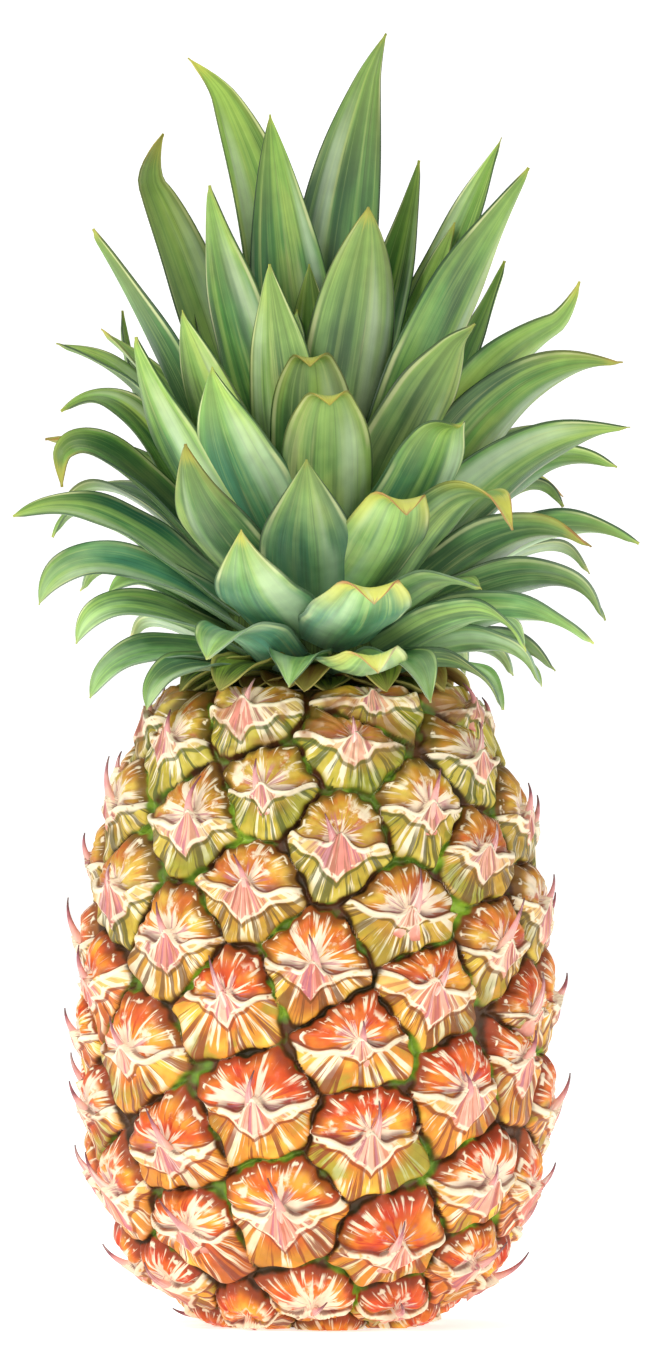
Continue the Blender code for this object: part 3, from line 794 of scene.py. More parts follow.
@dataclass(frozen=True)
class WitheredSkin(Finish):
    """Finish of the dried scales round the joint, and of the heart under the leaves.

    Attributes:
        fresh: The streaks that are still green.
        dry: What lies between them.
        edge: The margins and tips.
        turned: The scales that have turned further.
    """

    name: str = "withered_scale"
    specular: float = 0.25
    bump: float = 0.2 * MM
    fresh: Colour = (120, 146, 56)
    dry: Colour = (60, 78, 34)
    edge: Colour = (178, 168, 92)
    turned: Colour = (150, 84, 44)

    def paint(self, bench: Bench) -> tuple[Wire, Given, Wire]:
        """Streaks the scale along its length.

        Args:
            bench: Where the nodes go.

        Returns:
            The colour, the roughness and the height of the bump.
        """
        along, across, seed = map(bench.read, ("along", "across", "seed"))
        streaks = bench.noise(bench.vector(across * 7.0, along * 1.2, seed * 61.0), 1.0, 4.0, 0.65)
        colour = bench.mix(self.dry, self.fresh, streaks.span(0.4, 0.62))
        colour = colour.under(self.turned, seed.span(0.35, 0.6) * 0.6)
        colour = colour.under(self.edge, abs(across).span(0.8, 0.95) * 0.6)
        colour = colour.under(self.edge, along.span(0.75, 1.0) * 0.6)
        return colour.shaded(bench.wash(70.0, 0.4)), streaks.span(0.3, 0.7, 0.55, 0.75), streaks


@dataclass(frozen=True)
class StalkSkin(Finish):
    """Finish of the cut stalk: pale pith with dark fibre ends and a dried rim."""

    name: str = "stalk_fibre"
    specular: float = 0.2
    bump: float = 0.3 * MM

    def paint(self, bench: Bench) -> tuple[Wire, Given, Wire]:
        """Strews the fibre ends over the cut and darkens its rim.

        Args:
            bench: Where the nodes go.

        Returns:
            The colour, the roughness and the height of the bump.
        """
        ends = bench.add("TexVoronoi", {"Vector": bench.place(), "Scale": 900.0}, "Distance").span(0.25, 0.5)
        colour = bench.mix((126, 92, 52), (206, 180, 126), ends)
        colour = colour.under((116, 82, 46), bench.read("out").span(0.7, 1.0))
        return colour.shaded(bench.wash(180.0, 0.5)), ends.span(0.0, 1.0, 0.9, 0.7), ends


@dataclass(frozen=True)
class PaperFloor(Finish):
    """Finish of the studio floor: near-white paper that glows, so that it stays white far away."""

    name: str = "paper_floor"
    specular: float = 0.1
    bump: float = 0.05 * MM
    glow: float = 0.6

    def paint(self, bench: Bench) -> tuple[Wire, Given, Wire]:
        """Gives the paper its tooth."""
        tooth = bench.grain(400.0)
        return bench.mix((246, 246, 245), (252, 252, 251), tooth.span(0.2, 0.8)), 0.9, tooth


@dataclass
class Barrel:
    """The groove floor of the fruit, a surface of revolution read by the distance run up its side.

    Attributes:
        radius: Greatest radius.
        belly: Height of the greatest radius.
        rise: From the belly up to where the upper curve would close.
        drop: From the belly down to where the lower curve would close.
        shoulder: Squareness of the upper curve.
        base: Squareness of the lower curve.
        foot: Radius at the lower end.
        neck: Radius at the upper end.
        steps: Steps in which the side is measured.
        nudge: Distance over which its slope is measured.
    """

    radius: float = 57.6 * MM
    belly: float = 76.0 * MM
    rise: float = 101.0 * MM
    drop: float = 75.0 * MM
    shoulder: float = 2.4
    base: float = 2.62
    foot: float = 15.5 * MM
    neck: float = 33.0 * MM
    steps: int = 2000
    nudge: float = 2.0 * MM

    def __post_init__(self) -> None:
        """Measures the side from foot to neck."""
        low = self.belly - self.drop * (1 - (self.foot / self.radius) ** self.base) ** (1 / self.base)
        closing = (1 - (self.neck / self.radius) ** self.shoulder) ** (1 / self.shoulder)
        self.neck_height = self.belly + self.rise * closing
        middle, half = (low + self.neck_height) / 2, (self.neck_height - low) / 2
        self.heights = middle - half * np.cos(np.linspace(0, math.pi, self.steps + 1))
        self.radii = self.radius_at(self.heights)
        step = np.hypot(np.diff(self.heights), np.diff(self.radii))
        mean = (self.radii[1:] + self.radii[:-1]) / 2
        measures = (step, step * mean, step / mean)
        self.run, self.area, self.chart = (np.concatenate([[0.0], np.cumsum(m)]) for m in measures)
        self.top = float(self.run[-1])

    def radius_at(self, height: np.ndarray) -> np.ndarray:
        """Radius of the barrel at each height.

        Args:
            height: Heights over the floor.

        Returns:
            A radius for each.
        """
        upper = height >= self.belly
        power = np.where(upper, self.shoulder, self.base)
        share = np.minimum(1.0, np.abs(height - self.belly) / np.where(upper, self.rise, self.drop))
        return self.radius * (1 - share**power) ** (1 / power)

    def reach(self, run: np.ndarray) -> np.ndarray:
        """Radius at each distance up the side."""
        return np.interp(run, self.run, self.radii)

    def height(self, run: np.ndarray) -> np.ndarray:
        """Height at each distance up the side."""
        return np.interp(run, self.run, self.heights)

    def charted(self, run: np.ndarray) -> np.ndarray:
        """Height on the chart, on which the barrel unrolls with its angles kept."""
        return np.interp(run, self.run, self.chart)

    def point(self, turn: np.ndarray, run: np.ndarray, lift: np.ndarray) -> np.ndarray:
        """Points lifted off the barrel, square to its side.

        Args:
            turn: Turn to the right of the front, in radians.
            run: Distance run up the side.
            lift: Distance off the side.

        Returns:
            A place for each, with x, y and z last.
        """
        run = np.clip(run, 0.0, self.top)
        ahead, behind = np.minimum(run + self.nudge, self.top), np.maximum(run - self.nudge, 0.0)
        rise, widen = self.height(ahead) - self.height(behind), self.reach(ahead) - self.reach(behind)
        length = np.hypot(rise, widen)
        reach = self.reach(run) + lift * rise / length
        return reach[..., None] * around(turn) + (self.height(run) - lift * widen / length)[..., None] * UP


@dataclass
class EyeSpiral:
    """The middles of the eyes: a golden-angle spiral, with the eyes seen first set where they stand.

    Attributes:
        barrel: What the eyes sit on.
        count: Number of eyes.
        step: Turn from one to the next, in degrees.
        first: Turn of the first, in degrees.
        rounds: How often the free eyes move to the middle of their cells.
        survey: Points round and up the barrel by which the cells are measured.
        near: Neighbours that can share an edge with an eye.
        bias: How much further a cell reaches down than up.
        corners: How sharp the corners of the domes are, and of the bracts.
        stand: Turn in degrees and height in mm of the eyes that stand off the even spiral.
    """

    barrel: Barrel
    count: int = 103
    step: float = 137.85
    first: float = 7.0
    rounds: int = 6
    survey: tuple[int, int] = (240, 160)
    near: int = 12
    bias: float = 0.08
    corners: tuple[float, float] = (9.0, 26.0)
    stand: dict[int, tuple[float, float]] = field(
        default_factory=lambda: {
            13: (-2, 10), 18: (-38, 29), 21: (24, 25), 23: (-67, 38), 26: (-10, 34), 29: (50, 40),
            31: (-40, 49), 34: (13, 53), 36: (-77, 58), 37: (86, 58), 39: (-15, 60), 42: (39, 63),
            44: (-52, 73), 45: (60, 71), 47: (10, 76), 50: (65, 83), 52: (-22, 87), 55: (29, 90),
            57: (-72, 90), 60: (-1, 95), 63: (52, 100), 65: (-38, 102), 68: (23, 108), 73: (-18, 115),
            76: (48, 123), 78: (-35, 132), 81: (6, 127), 83: (-74, 135), 84: (76, 132), 86: (-15, 139),
            89: (32, 134), 91: (-53, 151), 92: (56, 147), 94: (12, 151), 99: (-26, 159), 102: (20, 161),
        }
    )

    def __post_init__(self) -> None:
        """Places the eyes and settles the free ones."""
        barrel = self.barrel
        order = np.arange(self.count)
        self.turn = np.radians(self.first + order * self.step) % FULL_TURN
        self.run = np.interp((order + 0.5) / self.count * barrel.area[-1], barrel.area, barrel.run)
        for k, (degrees, height) in self.stand.items():
            self.turn[k] = math.radians(degrees) % FULL_TURN
            self.run[k] = np.interp(height * MM, barrel.heights, barrel.run)
        free = np.array([k not in self.stand for k in order])
        wide, high = self.survey
        columns = np.linspace(0, FULL_TURN, wide, endpoint=False)
        turns, runs = np.meshgrid(columns, np.linspace(0, barrel.top, high))
        turns, runs = turns.ravel(), runs.ravel()
        weight = barrel.reach(runs)
        for _ in range(self.rounds):
            owner, right = self.nearest(turns, runs)
            area = np.bincount(owner, weight, self.count) + TINY
            right = np.bincount(owner, weight * right, self.count) / area
            up = np.bincount(owner, weight * (runs - self.run[owner]), self.count) / area
            turned = (self.turn + right / barrel.reach(self.run + up)) % FULL_TURN
            self.turn = np.where(free, turned, self.turn)
            self.run = np.where(free, np.clip(self.run + up, 0, barrel.top), self.run)

    @staticmethod
    def apart(turn: np.ndarray, other: np.ndarray) -> np.ndarray:
        """The turn from one to another the short way round."""
        return (turn - other + math.pi) % FULL_TURN - math.pi

    def nearest(self, turn: np.ndarray, run: np.ndarray) -> tuple[np.ndarray, np.ndarray]:
        """Finds the eye that each point belongs to.

        Args:
            turn: Turn of each point.
            run: Distance run up the side of each point.

        Returns:
            The number of the nearest eye, and the distance right of that eye's middle in metres.
        """
        chart, middles = self.barrel.charted(run), self.barrel.charted(self.run)
        owner = np.empty(len(turn), int)
        for part in np.array_split(np.arange(len(turn)), len(turn) // 20000 + 1):
            gap = self.apart(turn[part, None], self.turn)
            owner[part] = np.argmin(gap**2 + (chart[part, None] - middles) ** 2, axis=1)
        return owner, self.apart(turn, self.turn[owner]) * self.barrel.reach(run)

    def cells(self, turn: np.ndarray, run: np.ndarray) -> tuple[np.ndarray, ...]:
        """Divides the skin among the eyes; a bract reaches further down than a dome does up.

        Args:
            turn: Turn of each point.
            run: Distance run up the side of each point.

        Returns:
            For each point the eye that it belongs to, its direction from that eye's middle, and how far
            out it lies, 0 at the middle and 1 at the edge, first with round corners, then sharp.
        """
        chart, middles = self.barrel.charted(run), self.barrel.charted(self.run)
        gap = self.apart(self.turn[None], self.turn[:, None])
        rise = middles[None] - middles[:, None]
        near = np.argsort(gap**2 + rise**2, axis=1)[:, : self.near]
        group = near[self.nearest(turn, run)[0]]
        right = self.apart(turn[:, None], self.turn[group])
        up = chart[:, None] - middles[group]
        far = np.hypot(right, up)
        far = far * (1 + self.bias * up / np.maximum(far, TINY)) + TINY
        best = np.argmin(far, axis=1)
        rows = np.arange(len(turn))
        own = far[rows, best].copy()
        far[rows, best] = np.inf
        others = (np.sum(far**-power, axis=1) ** (-1 / power) for power in self.corners)
        shares = [2 * own / (own + other) for other in others]
        return group[rows, best], np.arctan2(up[rows, best], right[rows, best]), *shares


@dataclass
class FruitSkin:
    """The skin of the fruit: every eye with its puffed dome, its bract with a raised edge, and the grooves.

    Attributes:
        barrel: What the skin lies on.
        spiral: The middles of the eyes.
        columns: Points round the fruit.
        rows: Points up its side.
        dome_height: Height of an eye over the groove floor.
        lip_height: How far a bract's edge stands over the dome.
        keel_height: How far its middle stands over that.
        crease_depth: Depth of the creases in a dome, of its hollow middle and of the slits over the bract.
        star_height: How far the star-shaped middle of a bract stands over the rest of it.
        pocket: Radius and height of the pocket for the stalk.
        pinhole: Radius of the end rings, out of sight.
    """

    barrel: Barrel
    spiral: EyeSpiral
    columns: int = 736
    rows: int = 470
    dome_height: float = 4.7 * MM
    lip_height: float = 1.7 * MM
    keel_height: float = 1.3 * MM
    crease_depth: float = 0.9 * MM
    star_height: float = 1.5 * MM
    pocket: tuple[float, float] = (13.3 * MM, 8.3 * MM)
    pinhole: float = 0.1 * MM

    def relief(
        self, share: np.ndarray, sharp: np.ndarray, angle: np.ndarray, number: np.ndarray, rough: np.ndarray
    ) -> dict[str, np.ndarray]:
        """Height of the skin and the values that its shader reads.

        Args:
            share: How far out in its cell each point lies, with round corners.
            sharp: The same with sharp corners.
            angle: Direction of the point from the eye's middle, turned with the eye.
            number: The eye that it belongs to.
            rough: Smooth noise at each point.

        Returns:
            Arrays by name: lift, share, across, up, ledge and star.
        """
        draw = np.random.default_rng(11)
        phase = draw.uniform(0, FULL_TURN, (4, self.spiral.count))[:, number]
        edge_dip = draw.uniform(0.10, 0.24, self.spiral.count)[number]
        puff = draw.uniform(0.4, 0.9, self.spiral.count)[number]
        slits = draw.uniform(0.15, 1.2, (2, self.spiral.count))[:, number]
        slope = draw.uniform(-0.1, 0.1, self.spiral.count)[number]
        deep = draw.uniform(0.48, 0.8, self.spiral.count)[number]
        across, up = share * np.cos(angle), share * np.sin(angle)
        ledge = up - (0.3 * bell(across, 0.0, 0.17) + 0.26 * across**2 + slope * across - edge_dip)
        ledge -= 0.03 * np.sin(11 * across + phase[0])
        scallop = 0.045 * np.cos(7 * angle + phase[1]) + 0.025 * np.cos(17 * angle + phase[2])
        outer = np.clip(share * (1 + scallop * smooth(share, 0.4, 0.8)) + 0.015 * rough, 0, 1.1)
        reach = np.minimum(outer, 1.0)
        dome = self.dome_height * (1 - 0.3 * reach**2) * (1 - reach**11)
        dome += puff * MM * bell(outer, 0.62, 0.17)
        for crease in (60, 120):
            line = math.radians(crease) + 0.12 * np.sin(phase[3])
            dome -= 0.8 * MM * bell(angle, line, 0.11) * smooth(share, 0.12, 0.3) * smooth(share, 1.0, 0.8)
        pleat = np.sin(19 * angle + phase[2] + 2 * rough)
        dome += 0.14 * MM * pleat * smooth(share, 0.3, 0.6) * smooth(share, 1.0, 0.88)
        dome -= self.crease_depth * bell(share, 0.0, 0.3)
        side = (1 - bell(across, 0.0, 0.16)) * np.where(across < 0, slits[0], slits[1])
        dome -= self.crease_depth * bell(ledge, 0.0, 0.1) * side * smooth(share, 0.98, 0.75)
        fold = np.cos(13 * np.arctan2(across, 0.5 - up) + phase[1])
        hem = np.clip(sharp * (1 + 0.045 * fold * smooth(sharp, 0.5, 0.9)) + 0.015 * rough, 0, 1.1)
        reach = np.minimum(hem, 1.0)
        below = np.minimum(ledge, 0.0)
        bract = self.dome_height * (1 - 0.15 * reach**2) * (1 - reach**13)
        bract += self.lip_height * np.exp(below / 0.2) * smooth(share, 1.05, 0.7)
        bract += self.keel_height * bell(across, 0.0, 0.17) * np.exp(below / 0.35)
        bract += 0.5 * MM * fold * smooth(-ledge, 0.06, 0.4) * smooth(share, 1.0, 0.9)
        star = smooth(up + deep - 0.62 * np.abs(across) ** 0.75 - 0.03 * fold + 0.02 * rough, -0.07, 0.09)
        bract -= self.star_height * (1 - star) * smooth(-ledge, 0.0, 0.12) * smooth(share, 1.0, 0.8)
        under = smooth(ledge, 0.035, -0.035)
        lift = dome + (bract - dome) * under + 0.12 * MM * rough
        seen = outer + (hem - outer) * under
        return {"lift": lift, "share": seen, "across": across, "up": up, "ledge": ledge, "star": star}

    def build(self, material: bpy.types.Material) -> list[bpy.types.Object]:
        """Builds the skin as four quarters that meet without a seam.

        Args:
            material: Finish of the skin.

        Returns:
            The quarters.
        """
        barrel, spiral = self.barrel, self.spiral
        turns = np.linspace(0, FULL_TURN, self.columns, endpoint=False)
        turn, run = (given.ravel() for given in np.meshgrid(turns, np.linspace(0, barrel.top, self.rows)))
        owner, angle, share, sharp = spiral.cells(turn, run)
        rim = np.minimum(run, barrel.top - run)
        share, sharp = (np.maximum(given, smooth(rim, 2.5 * MM, 0.0)) for given in (share, sharp))
        draw = np.random.default_rng(5)
        tilt = np.radians(draw.uniform(-6, 6, spiral.count))[owner]
        flat = barrel.point(turn, run, np.zeros(len(turn)))
        rough = soft_noise(flat, 3.0 * MM, 1) * 0.7 + soft_noise(flat, 1.3 * MM, 2) * 0.4
        values = self.relief(share, sharp, angle + tilt, owner, rough)
        lift = np.maximum(values.pop("lift"), -0.3 * MM) * smooth(rim, 0.0, 3.0 * MM)
        points = barrel.point(turn, run, lift)
        points[:, 2] = np.maximum(points[:, 2], 0.0)
        middle = barrel.height(spiral.run)[owner]
        spread = draw.uniform(-1, 1, (4, spiral.count))[:, owner]
        values["green"] = smooth(middle + 14 * MM * spread[0], 62 * MM, 150 * MM)
        values["blush"] = np.clip(smooth(middle, 150 * MM, 30 * MM) * 0.8 + 0.25 + 0.3 * spread[1], 0, 1)
        values["seed"], values["tone"] = (spread[2:] + 1) / 2
        return self.quarters(points, values, material)

    def quarters(
        self, points: np.ndarray, values: dict[str, np.ndarray], material: bpy.types.Material
    ) -> list[bpy.types.Object]:
        """Closes the skin at both ends, works out how it faces and cuts it into four.

        Args:
            points: Places of the grid, row by row.
            values: What the points carry.
            material: Finish of the skin.

        Returns:
            The quarters.
        """
        grid = points.reshape(self.rows, self.columns, 3)
        radius, top = self.pocket
        foot, neck = grid[0, 0, 2], grid[-1, 0, 2]
        ring = around(np.linspace(0, FULL_TURN, self.columns, endpoint=False))
        below = ((self.pinhole, top), (radius, top), (radius, foot))
        above = ((0.5 * (self.barrel.neck + self.pinhole), neck), (self.pinhole, neck))
        low, high = (np.array([ring * reach + z * UP for reach, z in rows]) for rows in (below, above))
        grid = np.concatenate([low, grid, high])
        ends = ((len(low), len(high)), (0, 0))
        padded = {key: np.pad(v.reshape(self.rows, -1), ends, "edge") for key, v in values.items()}
        across = np.roll(grid, -1, 1) - np.roll(grid, 1, 1)
        normal = unit(np.cross(across, np.gradient(grid, axis=0)))
        wide = self.columns // 4
        faces = woven(len(grid), wide + 1, closed=False)
        made = []
        for k, side in enumerate(("front", "right", "back", "left")):
            picked = (np.arange(wide + 1) + k * wide - wide // 2) % self.columns
            carried = {key: value[:, picked] for key, value in padded.items()}
            part = grid[:, picked]
            made.append(mesh_piece(f"eye_skin_{side}", part, faces, carried, material, normal[:, picked]))
        return made


@dataclass
class Spines:
    """The spines, one drawn out of the middle of each bract's edge.

    Attributes:
        barrel: What the eyes sit on.
        spiral: The middles of the eyes.
        rings: Rings along a spine.
        sides: Points round a spine.
        start: Where its root starts, up from its eye's middle.
        reach: How far a spine runs up over its eye.
        sunk: Height of its root over the groove floor.
        stand: How far it rises over that, whatever its size.
        rise: How much further a spine of full size rises.
        thick: Radius near its root.
        clear: Least run and height at which an eye has one.
        crowded: Distance under the neck over which spines get smaller.
    """

    barrel: Barrel
    spiral: EyeSpiral
    rings: int = 14
    sides: int = 10
    start: float = -4.5 * MM
    reach: float = 9.5 * MM
    sunk: float = 0.8 * MM
    stand: float = 5.6 * MM
    rise: float = 2.4 * MM
    thick: float = 1.7 * MM
    clear: float = 7.0 * MM
    crowded: float = 45.0 * MM

    def build(self, material: bpy.types.Material) -> bpy.types.Object:
        """Builds all the spines as one piece with its finish.

        Args:
            material: Finish of the spines.

        Returns:
            The piece.
        """
        draw = random.Random(3)
        t = np.linspace(0, 1, self.rings)[:, None]
        ring = FULL_TURN * np.arange(self.sides)[None] / self.sides
        radius = self.thick * (0.1 + 0.9 * (1 - t) ** 1.2) * (1 + 1.1 * (1 - t) ** 5)
        right, out = np.cos(ring) * radius * (1 + 0.7 * (1 - t) ** 3), np.sin(ring) * radius
        last = (self.rings - 1) * self.sides
        caps = [(0, k + 1, k, k) for k in range(1, self.sides - 1)]
        caps += [(last, last + k, last + k + 1, last + k + 1) for k in range(1, self.sides - 1)]
        tube = np.concatenate([woven(self.rings, self.sides), caps])
        points, faces, seeds = [], [], []
        for k, (turn, run) in enumerate(zip(self.spiral.turn, self.spiral.run)):
            vigour, lean, wave = draw.uniform(0.5, 1.15), draw.uniform(-4.0, 4.0) * MM, draw.uniform(-1, 1)
            if self.barrel.height(run) < self.clear or run > self.barrel.top - self.clear:
                continue
            vigour *= min(1.0, 0.4 + (self.barrel.top - run) / self.crowded)
            line = self.line(turn, run, t[:, 0], vigour, lean, wave)
            ahead = unit(np.gradient(line, axis=0))
            side = unit(np.cross(ahead, around(turn)))[:, None]
            over = np.cross(side, ahead[:, None])
            faces.append(tube + len(points) * right.size)
            points.append(line[:, None] + side * right[..., None] + over * out[..., None])
            seeds.append(np.full(right.shape, k / self.spiral.count))
        shape = (len(points), *right.shape)
        values = {
            "along": np.broadcast_to(t, shape),
            "round": np.broadcast_to(np.cos(ring), shape),
            "seed": np.array(seeds),
        }
        return mesh_piece("fruit_spines", np.array(points), np.concatenate(faces), values, material)

    def line(
        self, turn: float, run: float, t: np.ndarray, vigour: float, lean: float, wave: float
    ) -> np.ndarray:
        """The middle line of a spine.

        Args:
            turn: Turn of its eye.
            run: Run of its eye.
            t: Shares of the way from root to tip.
            vigour: Its size, about 1.
            lean: How far the tip stands to one side.
            wave: How it bends on the way, -1 to 1.

        Returns:
            A place for each share.
        """
        up = run + self.start * (1 - t) + self.reach * vigour * t
        side = lean * t**1.7 + wave * 1.2 * MM * np.sin(math.pi * t)
        lift = self.sunk + (self.stand + self.rise * vigour) * (1 - (1 - t) ** 2)
        return self.barrel.point(turn + side / self.barrel.reach(up), up, lift)


@dataclass(frozen=True)
class Leaf:
    """One leaf of the crown.

    Attributes:
        facing: The way it faces, in degrees right of the front.
        right: Place of its tip right of the origin, in mm.
        front: Place of its tip in front of the origin, in mm.
        up: Height of its tip, in mm.
        root: Height of its root, in mm.
        rise: Slope at its root, in degrees.
        fall: Slope at its tip, in degrees.
        width: Greatest width, in mm.
        roll: Turn about its own length, in degrees.
        curl: How far its tip bends on, in degrees, outward if positive.
        fold: Share of the length at which that bend starts.
        flick: How far the very tip is bent right and up, in mm.
        blunt: How much longer than others it keeps its width, 0 to 1.
        pale: How pale it is, 0 to 1.
        blue: How blue-green it is, 0 to 1.
        burnt: How far its tip has dried, 0 to 1.
    """

    facing: float
    right: float
    front: float
    up: float
    root: float
    rise: float
    fall: float
    width: float
    roll: float = 0.0
    curl: float = 0.0
    fold: float = 0.84
    flick: tuple[float, float] = (0.0, 0.0)
    blunt: float = 0.0
    pale: float = 0.0
    blue: float = 0.0
    burnt: float = 0.0


SEEN_LEAVES = (
    Leaf(170, 16.6, -12, 336, 212, 82, 74, 23, flick=(1.5, 0.5), pale=0.15),
    Leaf(-165, -12.2, -4, 315, 210, 84, 86, 22, blue=0.3),
    Leaf(-150, -30.0, -20, 331, 206, 84, 60, 21, flick=(-3.8, -0.4), blunt=0.2, burnt=0.15),
    Leaf(-130, -48.4, -24, 307.5, 203, 60, 64, 23, flick=(8.2, 3.4), blunt=0.6, pale=0.25, burnt=0.2),
    Leaf(-35, -27.8, 8, 296, 205, 72, 84, 20),
    Leaf(150, 26.8, -26, 304, 206, 74, 78, 15),
    Leaf(135, 48.4, -26, 310, 204, 60, 64, 20, pale=0.1),
    Leaf(45, 55.1, -2, 301, 203, 58, 58, 21, pale=0.1),
    Leaf(125, 49.4, -36, 278, 199, 52, 66, 16),
    Leaf(12, 13.3, 18, 290, 204, 76, 86, 23, blunt=0.5, pale=0.35, burnt=0.2),
    Leaf(-20, -12.2, 24, 275, 200, 74, 84, 20, pale=0.5),
    Leaf(-38, -34.6, 30, 263, 197, 50, 76, 21, pale=0.2),
    Leaf(-62, -58.2, 0, 285, 199, 52, 58, 25, 15, burnt=0.1),
    Leaf(-110, -51.2, -38, 265, 193, 52, 85, 10),
    Leaf(-66, -67.6, 8, 255, 192, 48, 12, 19, 30),
    Leaf(-48, -46.5, 32, 256, 190, 42, 78, 23, 5),
    Leaf(-95, -67.0, -20, 238, 188, 44, -36, 16, 30),
    Leaf(-68, -67.3, 20, 221, 186, 44, -80, 18, 35, flick=(1.5, -3.5), burnt=0.3),
    Leaf(-72, -78.5, 18, 210, 182, 30, -22, 18, 35, blue=0.3),
    Leaf(-100, -69.2, -20, 205, 178, 34, -70, 12, 20),
    Leaf(-60, -71.5, 30, 187, 177, 36, -72, 17, 35, blue=0.7),
    Leaf(-80, -54.3, 8, 190, 174, 28, -50, 14, 30),
    Leaf(-58, -61.9, 30, 177, 171, 28, -72, 15, 30, pale=0.3),
    Leaf(-64, -58.5, 24, 163, 168, 24, -68, 15, 25),
    Leaf(-50, -43.7, 34, 160, 167, 20, -80, 14, 15),
    Leaf(-24, -26.8, 44, 248, 190, 52, 82, 25, blue=0.6),
    Leaf(-32, -33.5, 56, 228, 183, 40, 80, 23, burnt=0.4),
    Leaf(-3, -1.5, 32, 256, 195, 70, 84, 22, curl=150, fold=0.88, blunt=0.9, pale=0.1, burnt=0.3),
    Leaf(5, 3.0, 46, 246, 188, 58, 86, 24, curl=150, fold=0.88, blunt=0.9, pale=0.3, burnt=0.3),
    Leaf(-3, -2.6, 60, 224, 179, 44, 86, 26, blue=0.6, pale=0.2),
    Leaf(-17, -19.2, 65, 206, 174, 34, 84, 25, blue=0.8, burnt=0.3),
    Leaf(13, 14.0, 69, 198, 172, 34, 74, 27, curl=155, blunt=0.7, blue=1.0, burnt=0.8),
    Leaf(17, 15.0, 71, 180, 168, 24, 56, 23, curl=130, fold=0.83, blunt=0.6, burnt=0.7),
    Leaf(-26, -28.0, 66, 173, 167, 26, -40, 20, blunt=0.4, blue=0.9),
    Leaf(32, 29.0, 60, 162, 167, 20, -60, 16),
    Leaf(34, 38.3, 28, 260, 197, 52, 62, 23, flick=(2.5, -0.5), blunt=0.3, pale=0.35),
    Leaf(35, 34.0, 42, 239, 189, 44, 78, 24, curl=90, blunt=0.8, blue=0.4),
    Leaf(20, 21.8, 57, 221, 182, 42, 80, 24, curl=155, fold=0.83, blunt=0.8, pale=0.2, burnt=0.7),
    Leaf(44, 49.5, 52, 211, 179, 42, -44, 20, 5, flick=(0.5, -5.0), blunt=0.3, pale=0.4, burnt=0.7),
    Leaf(42, 42.0, 60, 191, 174, 32, -20, 18, 5, pale=0.2),
    Leaf(70, 70.0, -4, 264, 198, 46, 24, 21, 20, flick=(-1.6, 7.5), blunt=0.3, burnt=0.1),
    Leaf(64, 79.3, 12, 250, 193, 44, -6, 22, 25, burnt=0.3),
    Leaf(60, 80.9, 24, 233, 187, 38, 0, 19, 30),
    Leaf(80, 78.0, 2, 223, 184, 38, -25, 18, 30),
    Leaf(105, 64.5, -22, 213, 181, 34, -60, 12, 20),
    Leaf(80, 83.5, 10, 203, 180, 32, -32, 16, 30),
    Leaf(58, 70.7, 30, 202, 178, 32, -36, 17, 30, burnt=0.7),
    Leaf(64, 74.4, 24, 183, 175, 32, -72, 16, 30),
    Leaf(50, 71.2, 34, 177, 171, 26, -42, 16, 30),
    Leaf(46, 53.6, 46, 175, 169, 26, -72, 15, 20, pale=0.2),
    Leaf(62, 58.0, 28, 166, 168, 24, -76, 14, 25),
    Leaf(84, 62.0, 4, 170, 168, 22, -54, 13, 25),
    Leaf(44, 47.8, 38, 160, 167, 20, -80, 14, 15),
    Leaf(-6, -7.0, 56, 166, 167, 20, -52, 16),
    Leaf(60, 4.0, 1, 270, 214, 84, 88, 15),
    Leaf(180, -2.0, -4, 276, 214, 84, 88, 15),
    Leaf(-60, -5.0, 2, 264, 214, 84, 88, 15),
)

# Tiers of the far side: number of leaves, facing of the first and step to the next in degrees, reach and
# height of the tips and height of the roots in mm, slopes at root and tip in degrees, and width in mm
FAR_TIERS = (
    (2, 155, 50, 24, 306, 206, 80, 74, 20),
    (3, 130, 50, 44, 284, 201, 62, 66, 20),
    (4, 114, 44, 62, 258, 195, 54, 34, 20),
    (5, 106, 37, 70, 232, 189, 48, -6, 19),
    (5, 118, 31, 72, 210, 183, 40, -40, 18),
    (6, 102, 31, 70, 190, 175, 32, -64, 17),
    (6, 114, 27, 58, 172, 168, 26, -72, 16),
)

# Withered scales and the shorter ones under them: their number, where in its share of the round each faces,
# reach of the tips in mm and its range, height of tips and roots in mm, slopes in degrees, and width in mm
SCALE_TIERS = (
    (12, (-0.25, 0.25), 43.0, (0.92, 1.05), 164.8, 170, 14, -48, 19),
    (18, (0.2, 0.8), 36.5, (0.95, 1.05), 164.9, 167.5, 10, -20, 16),
)


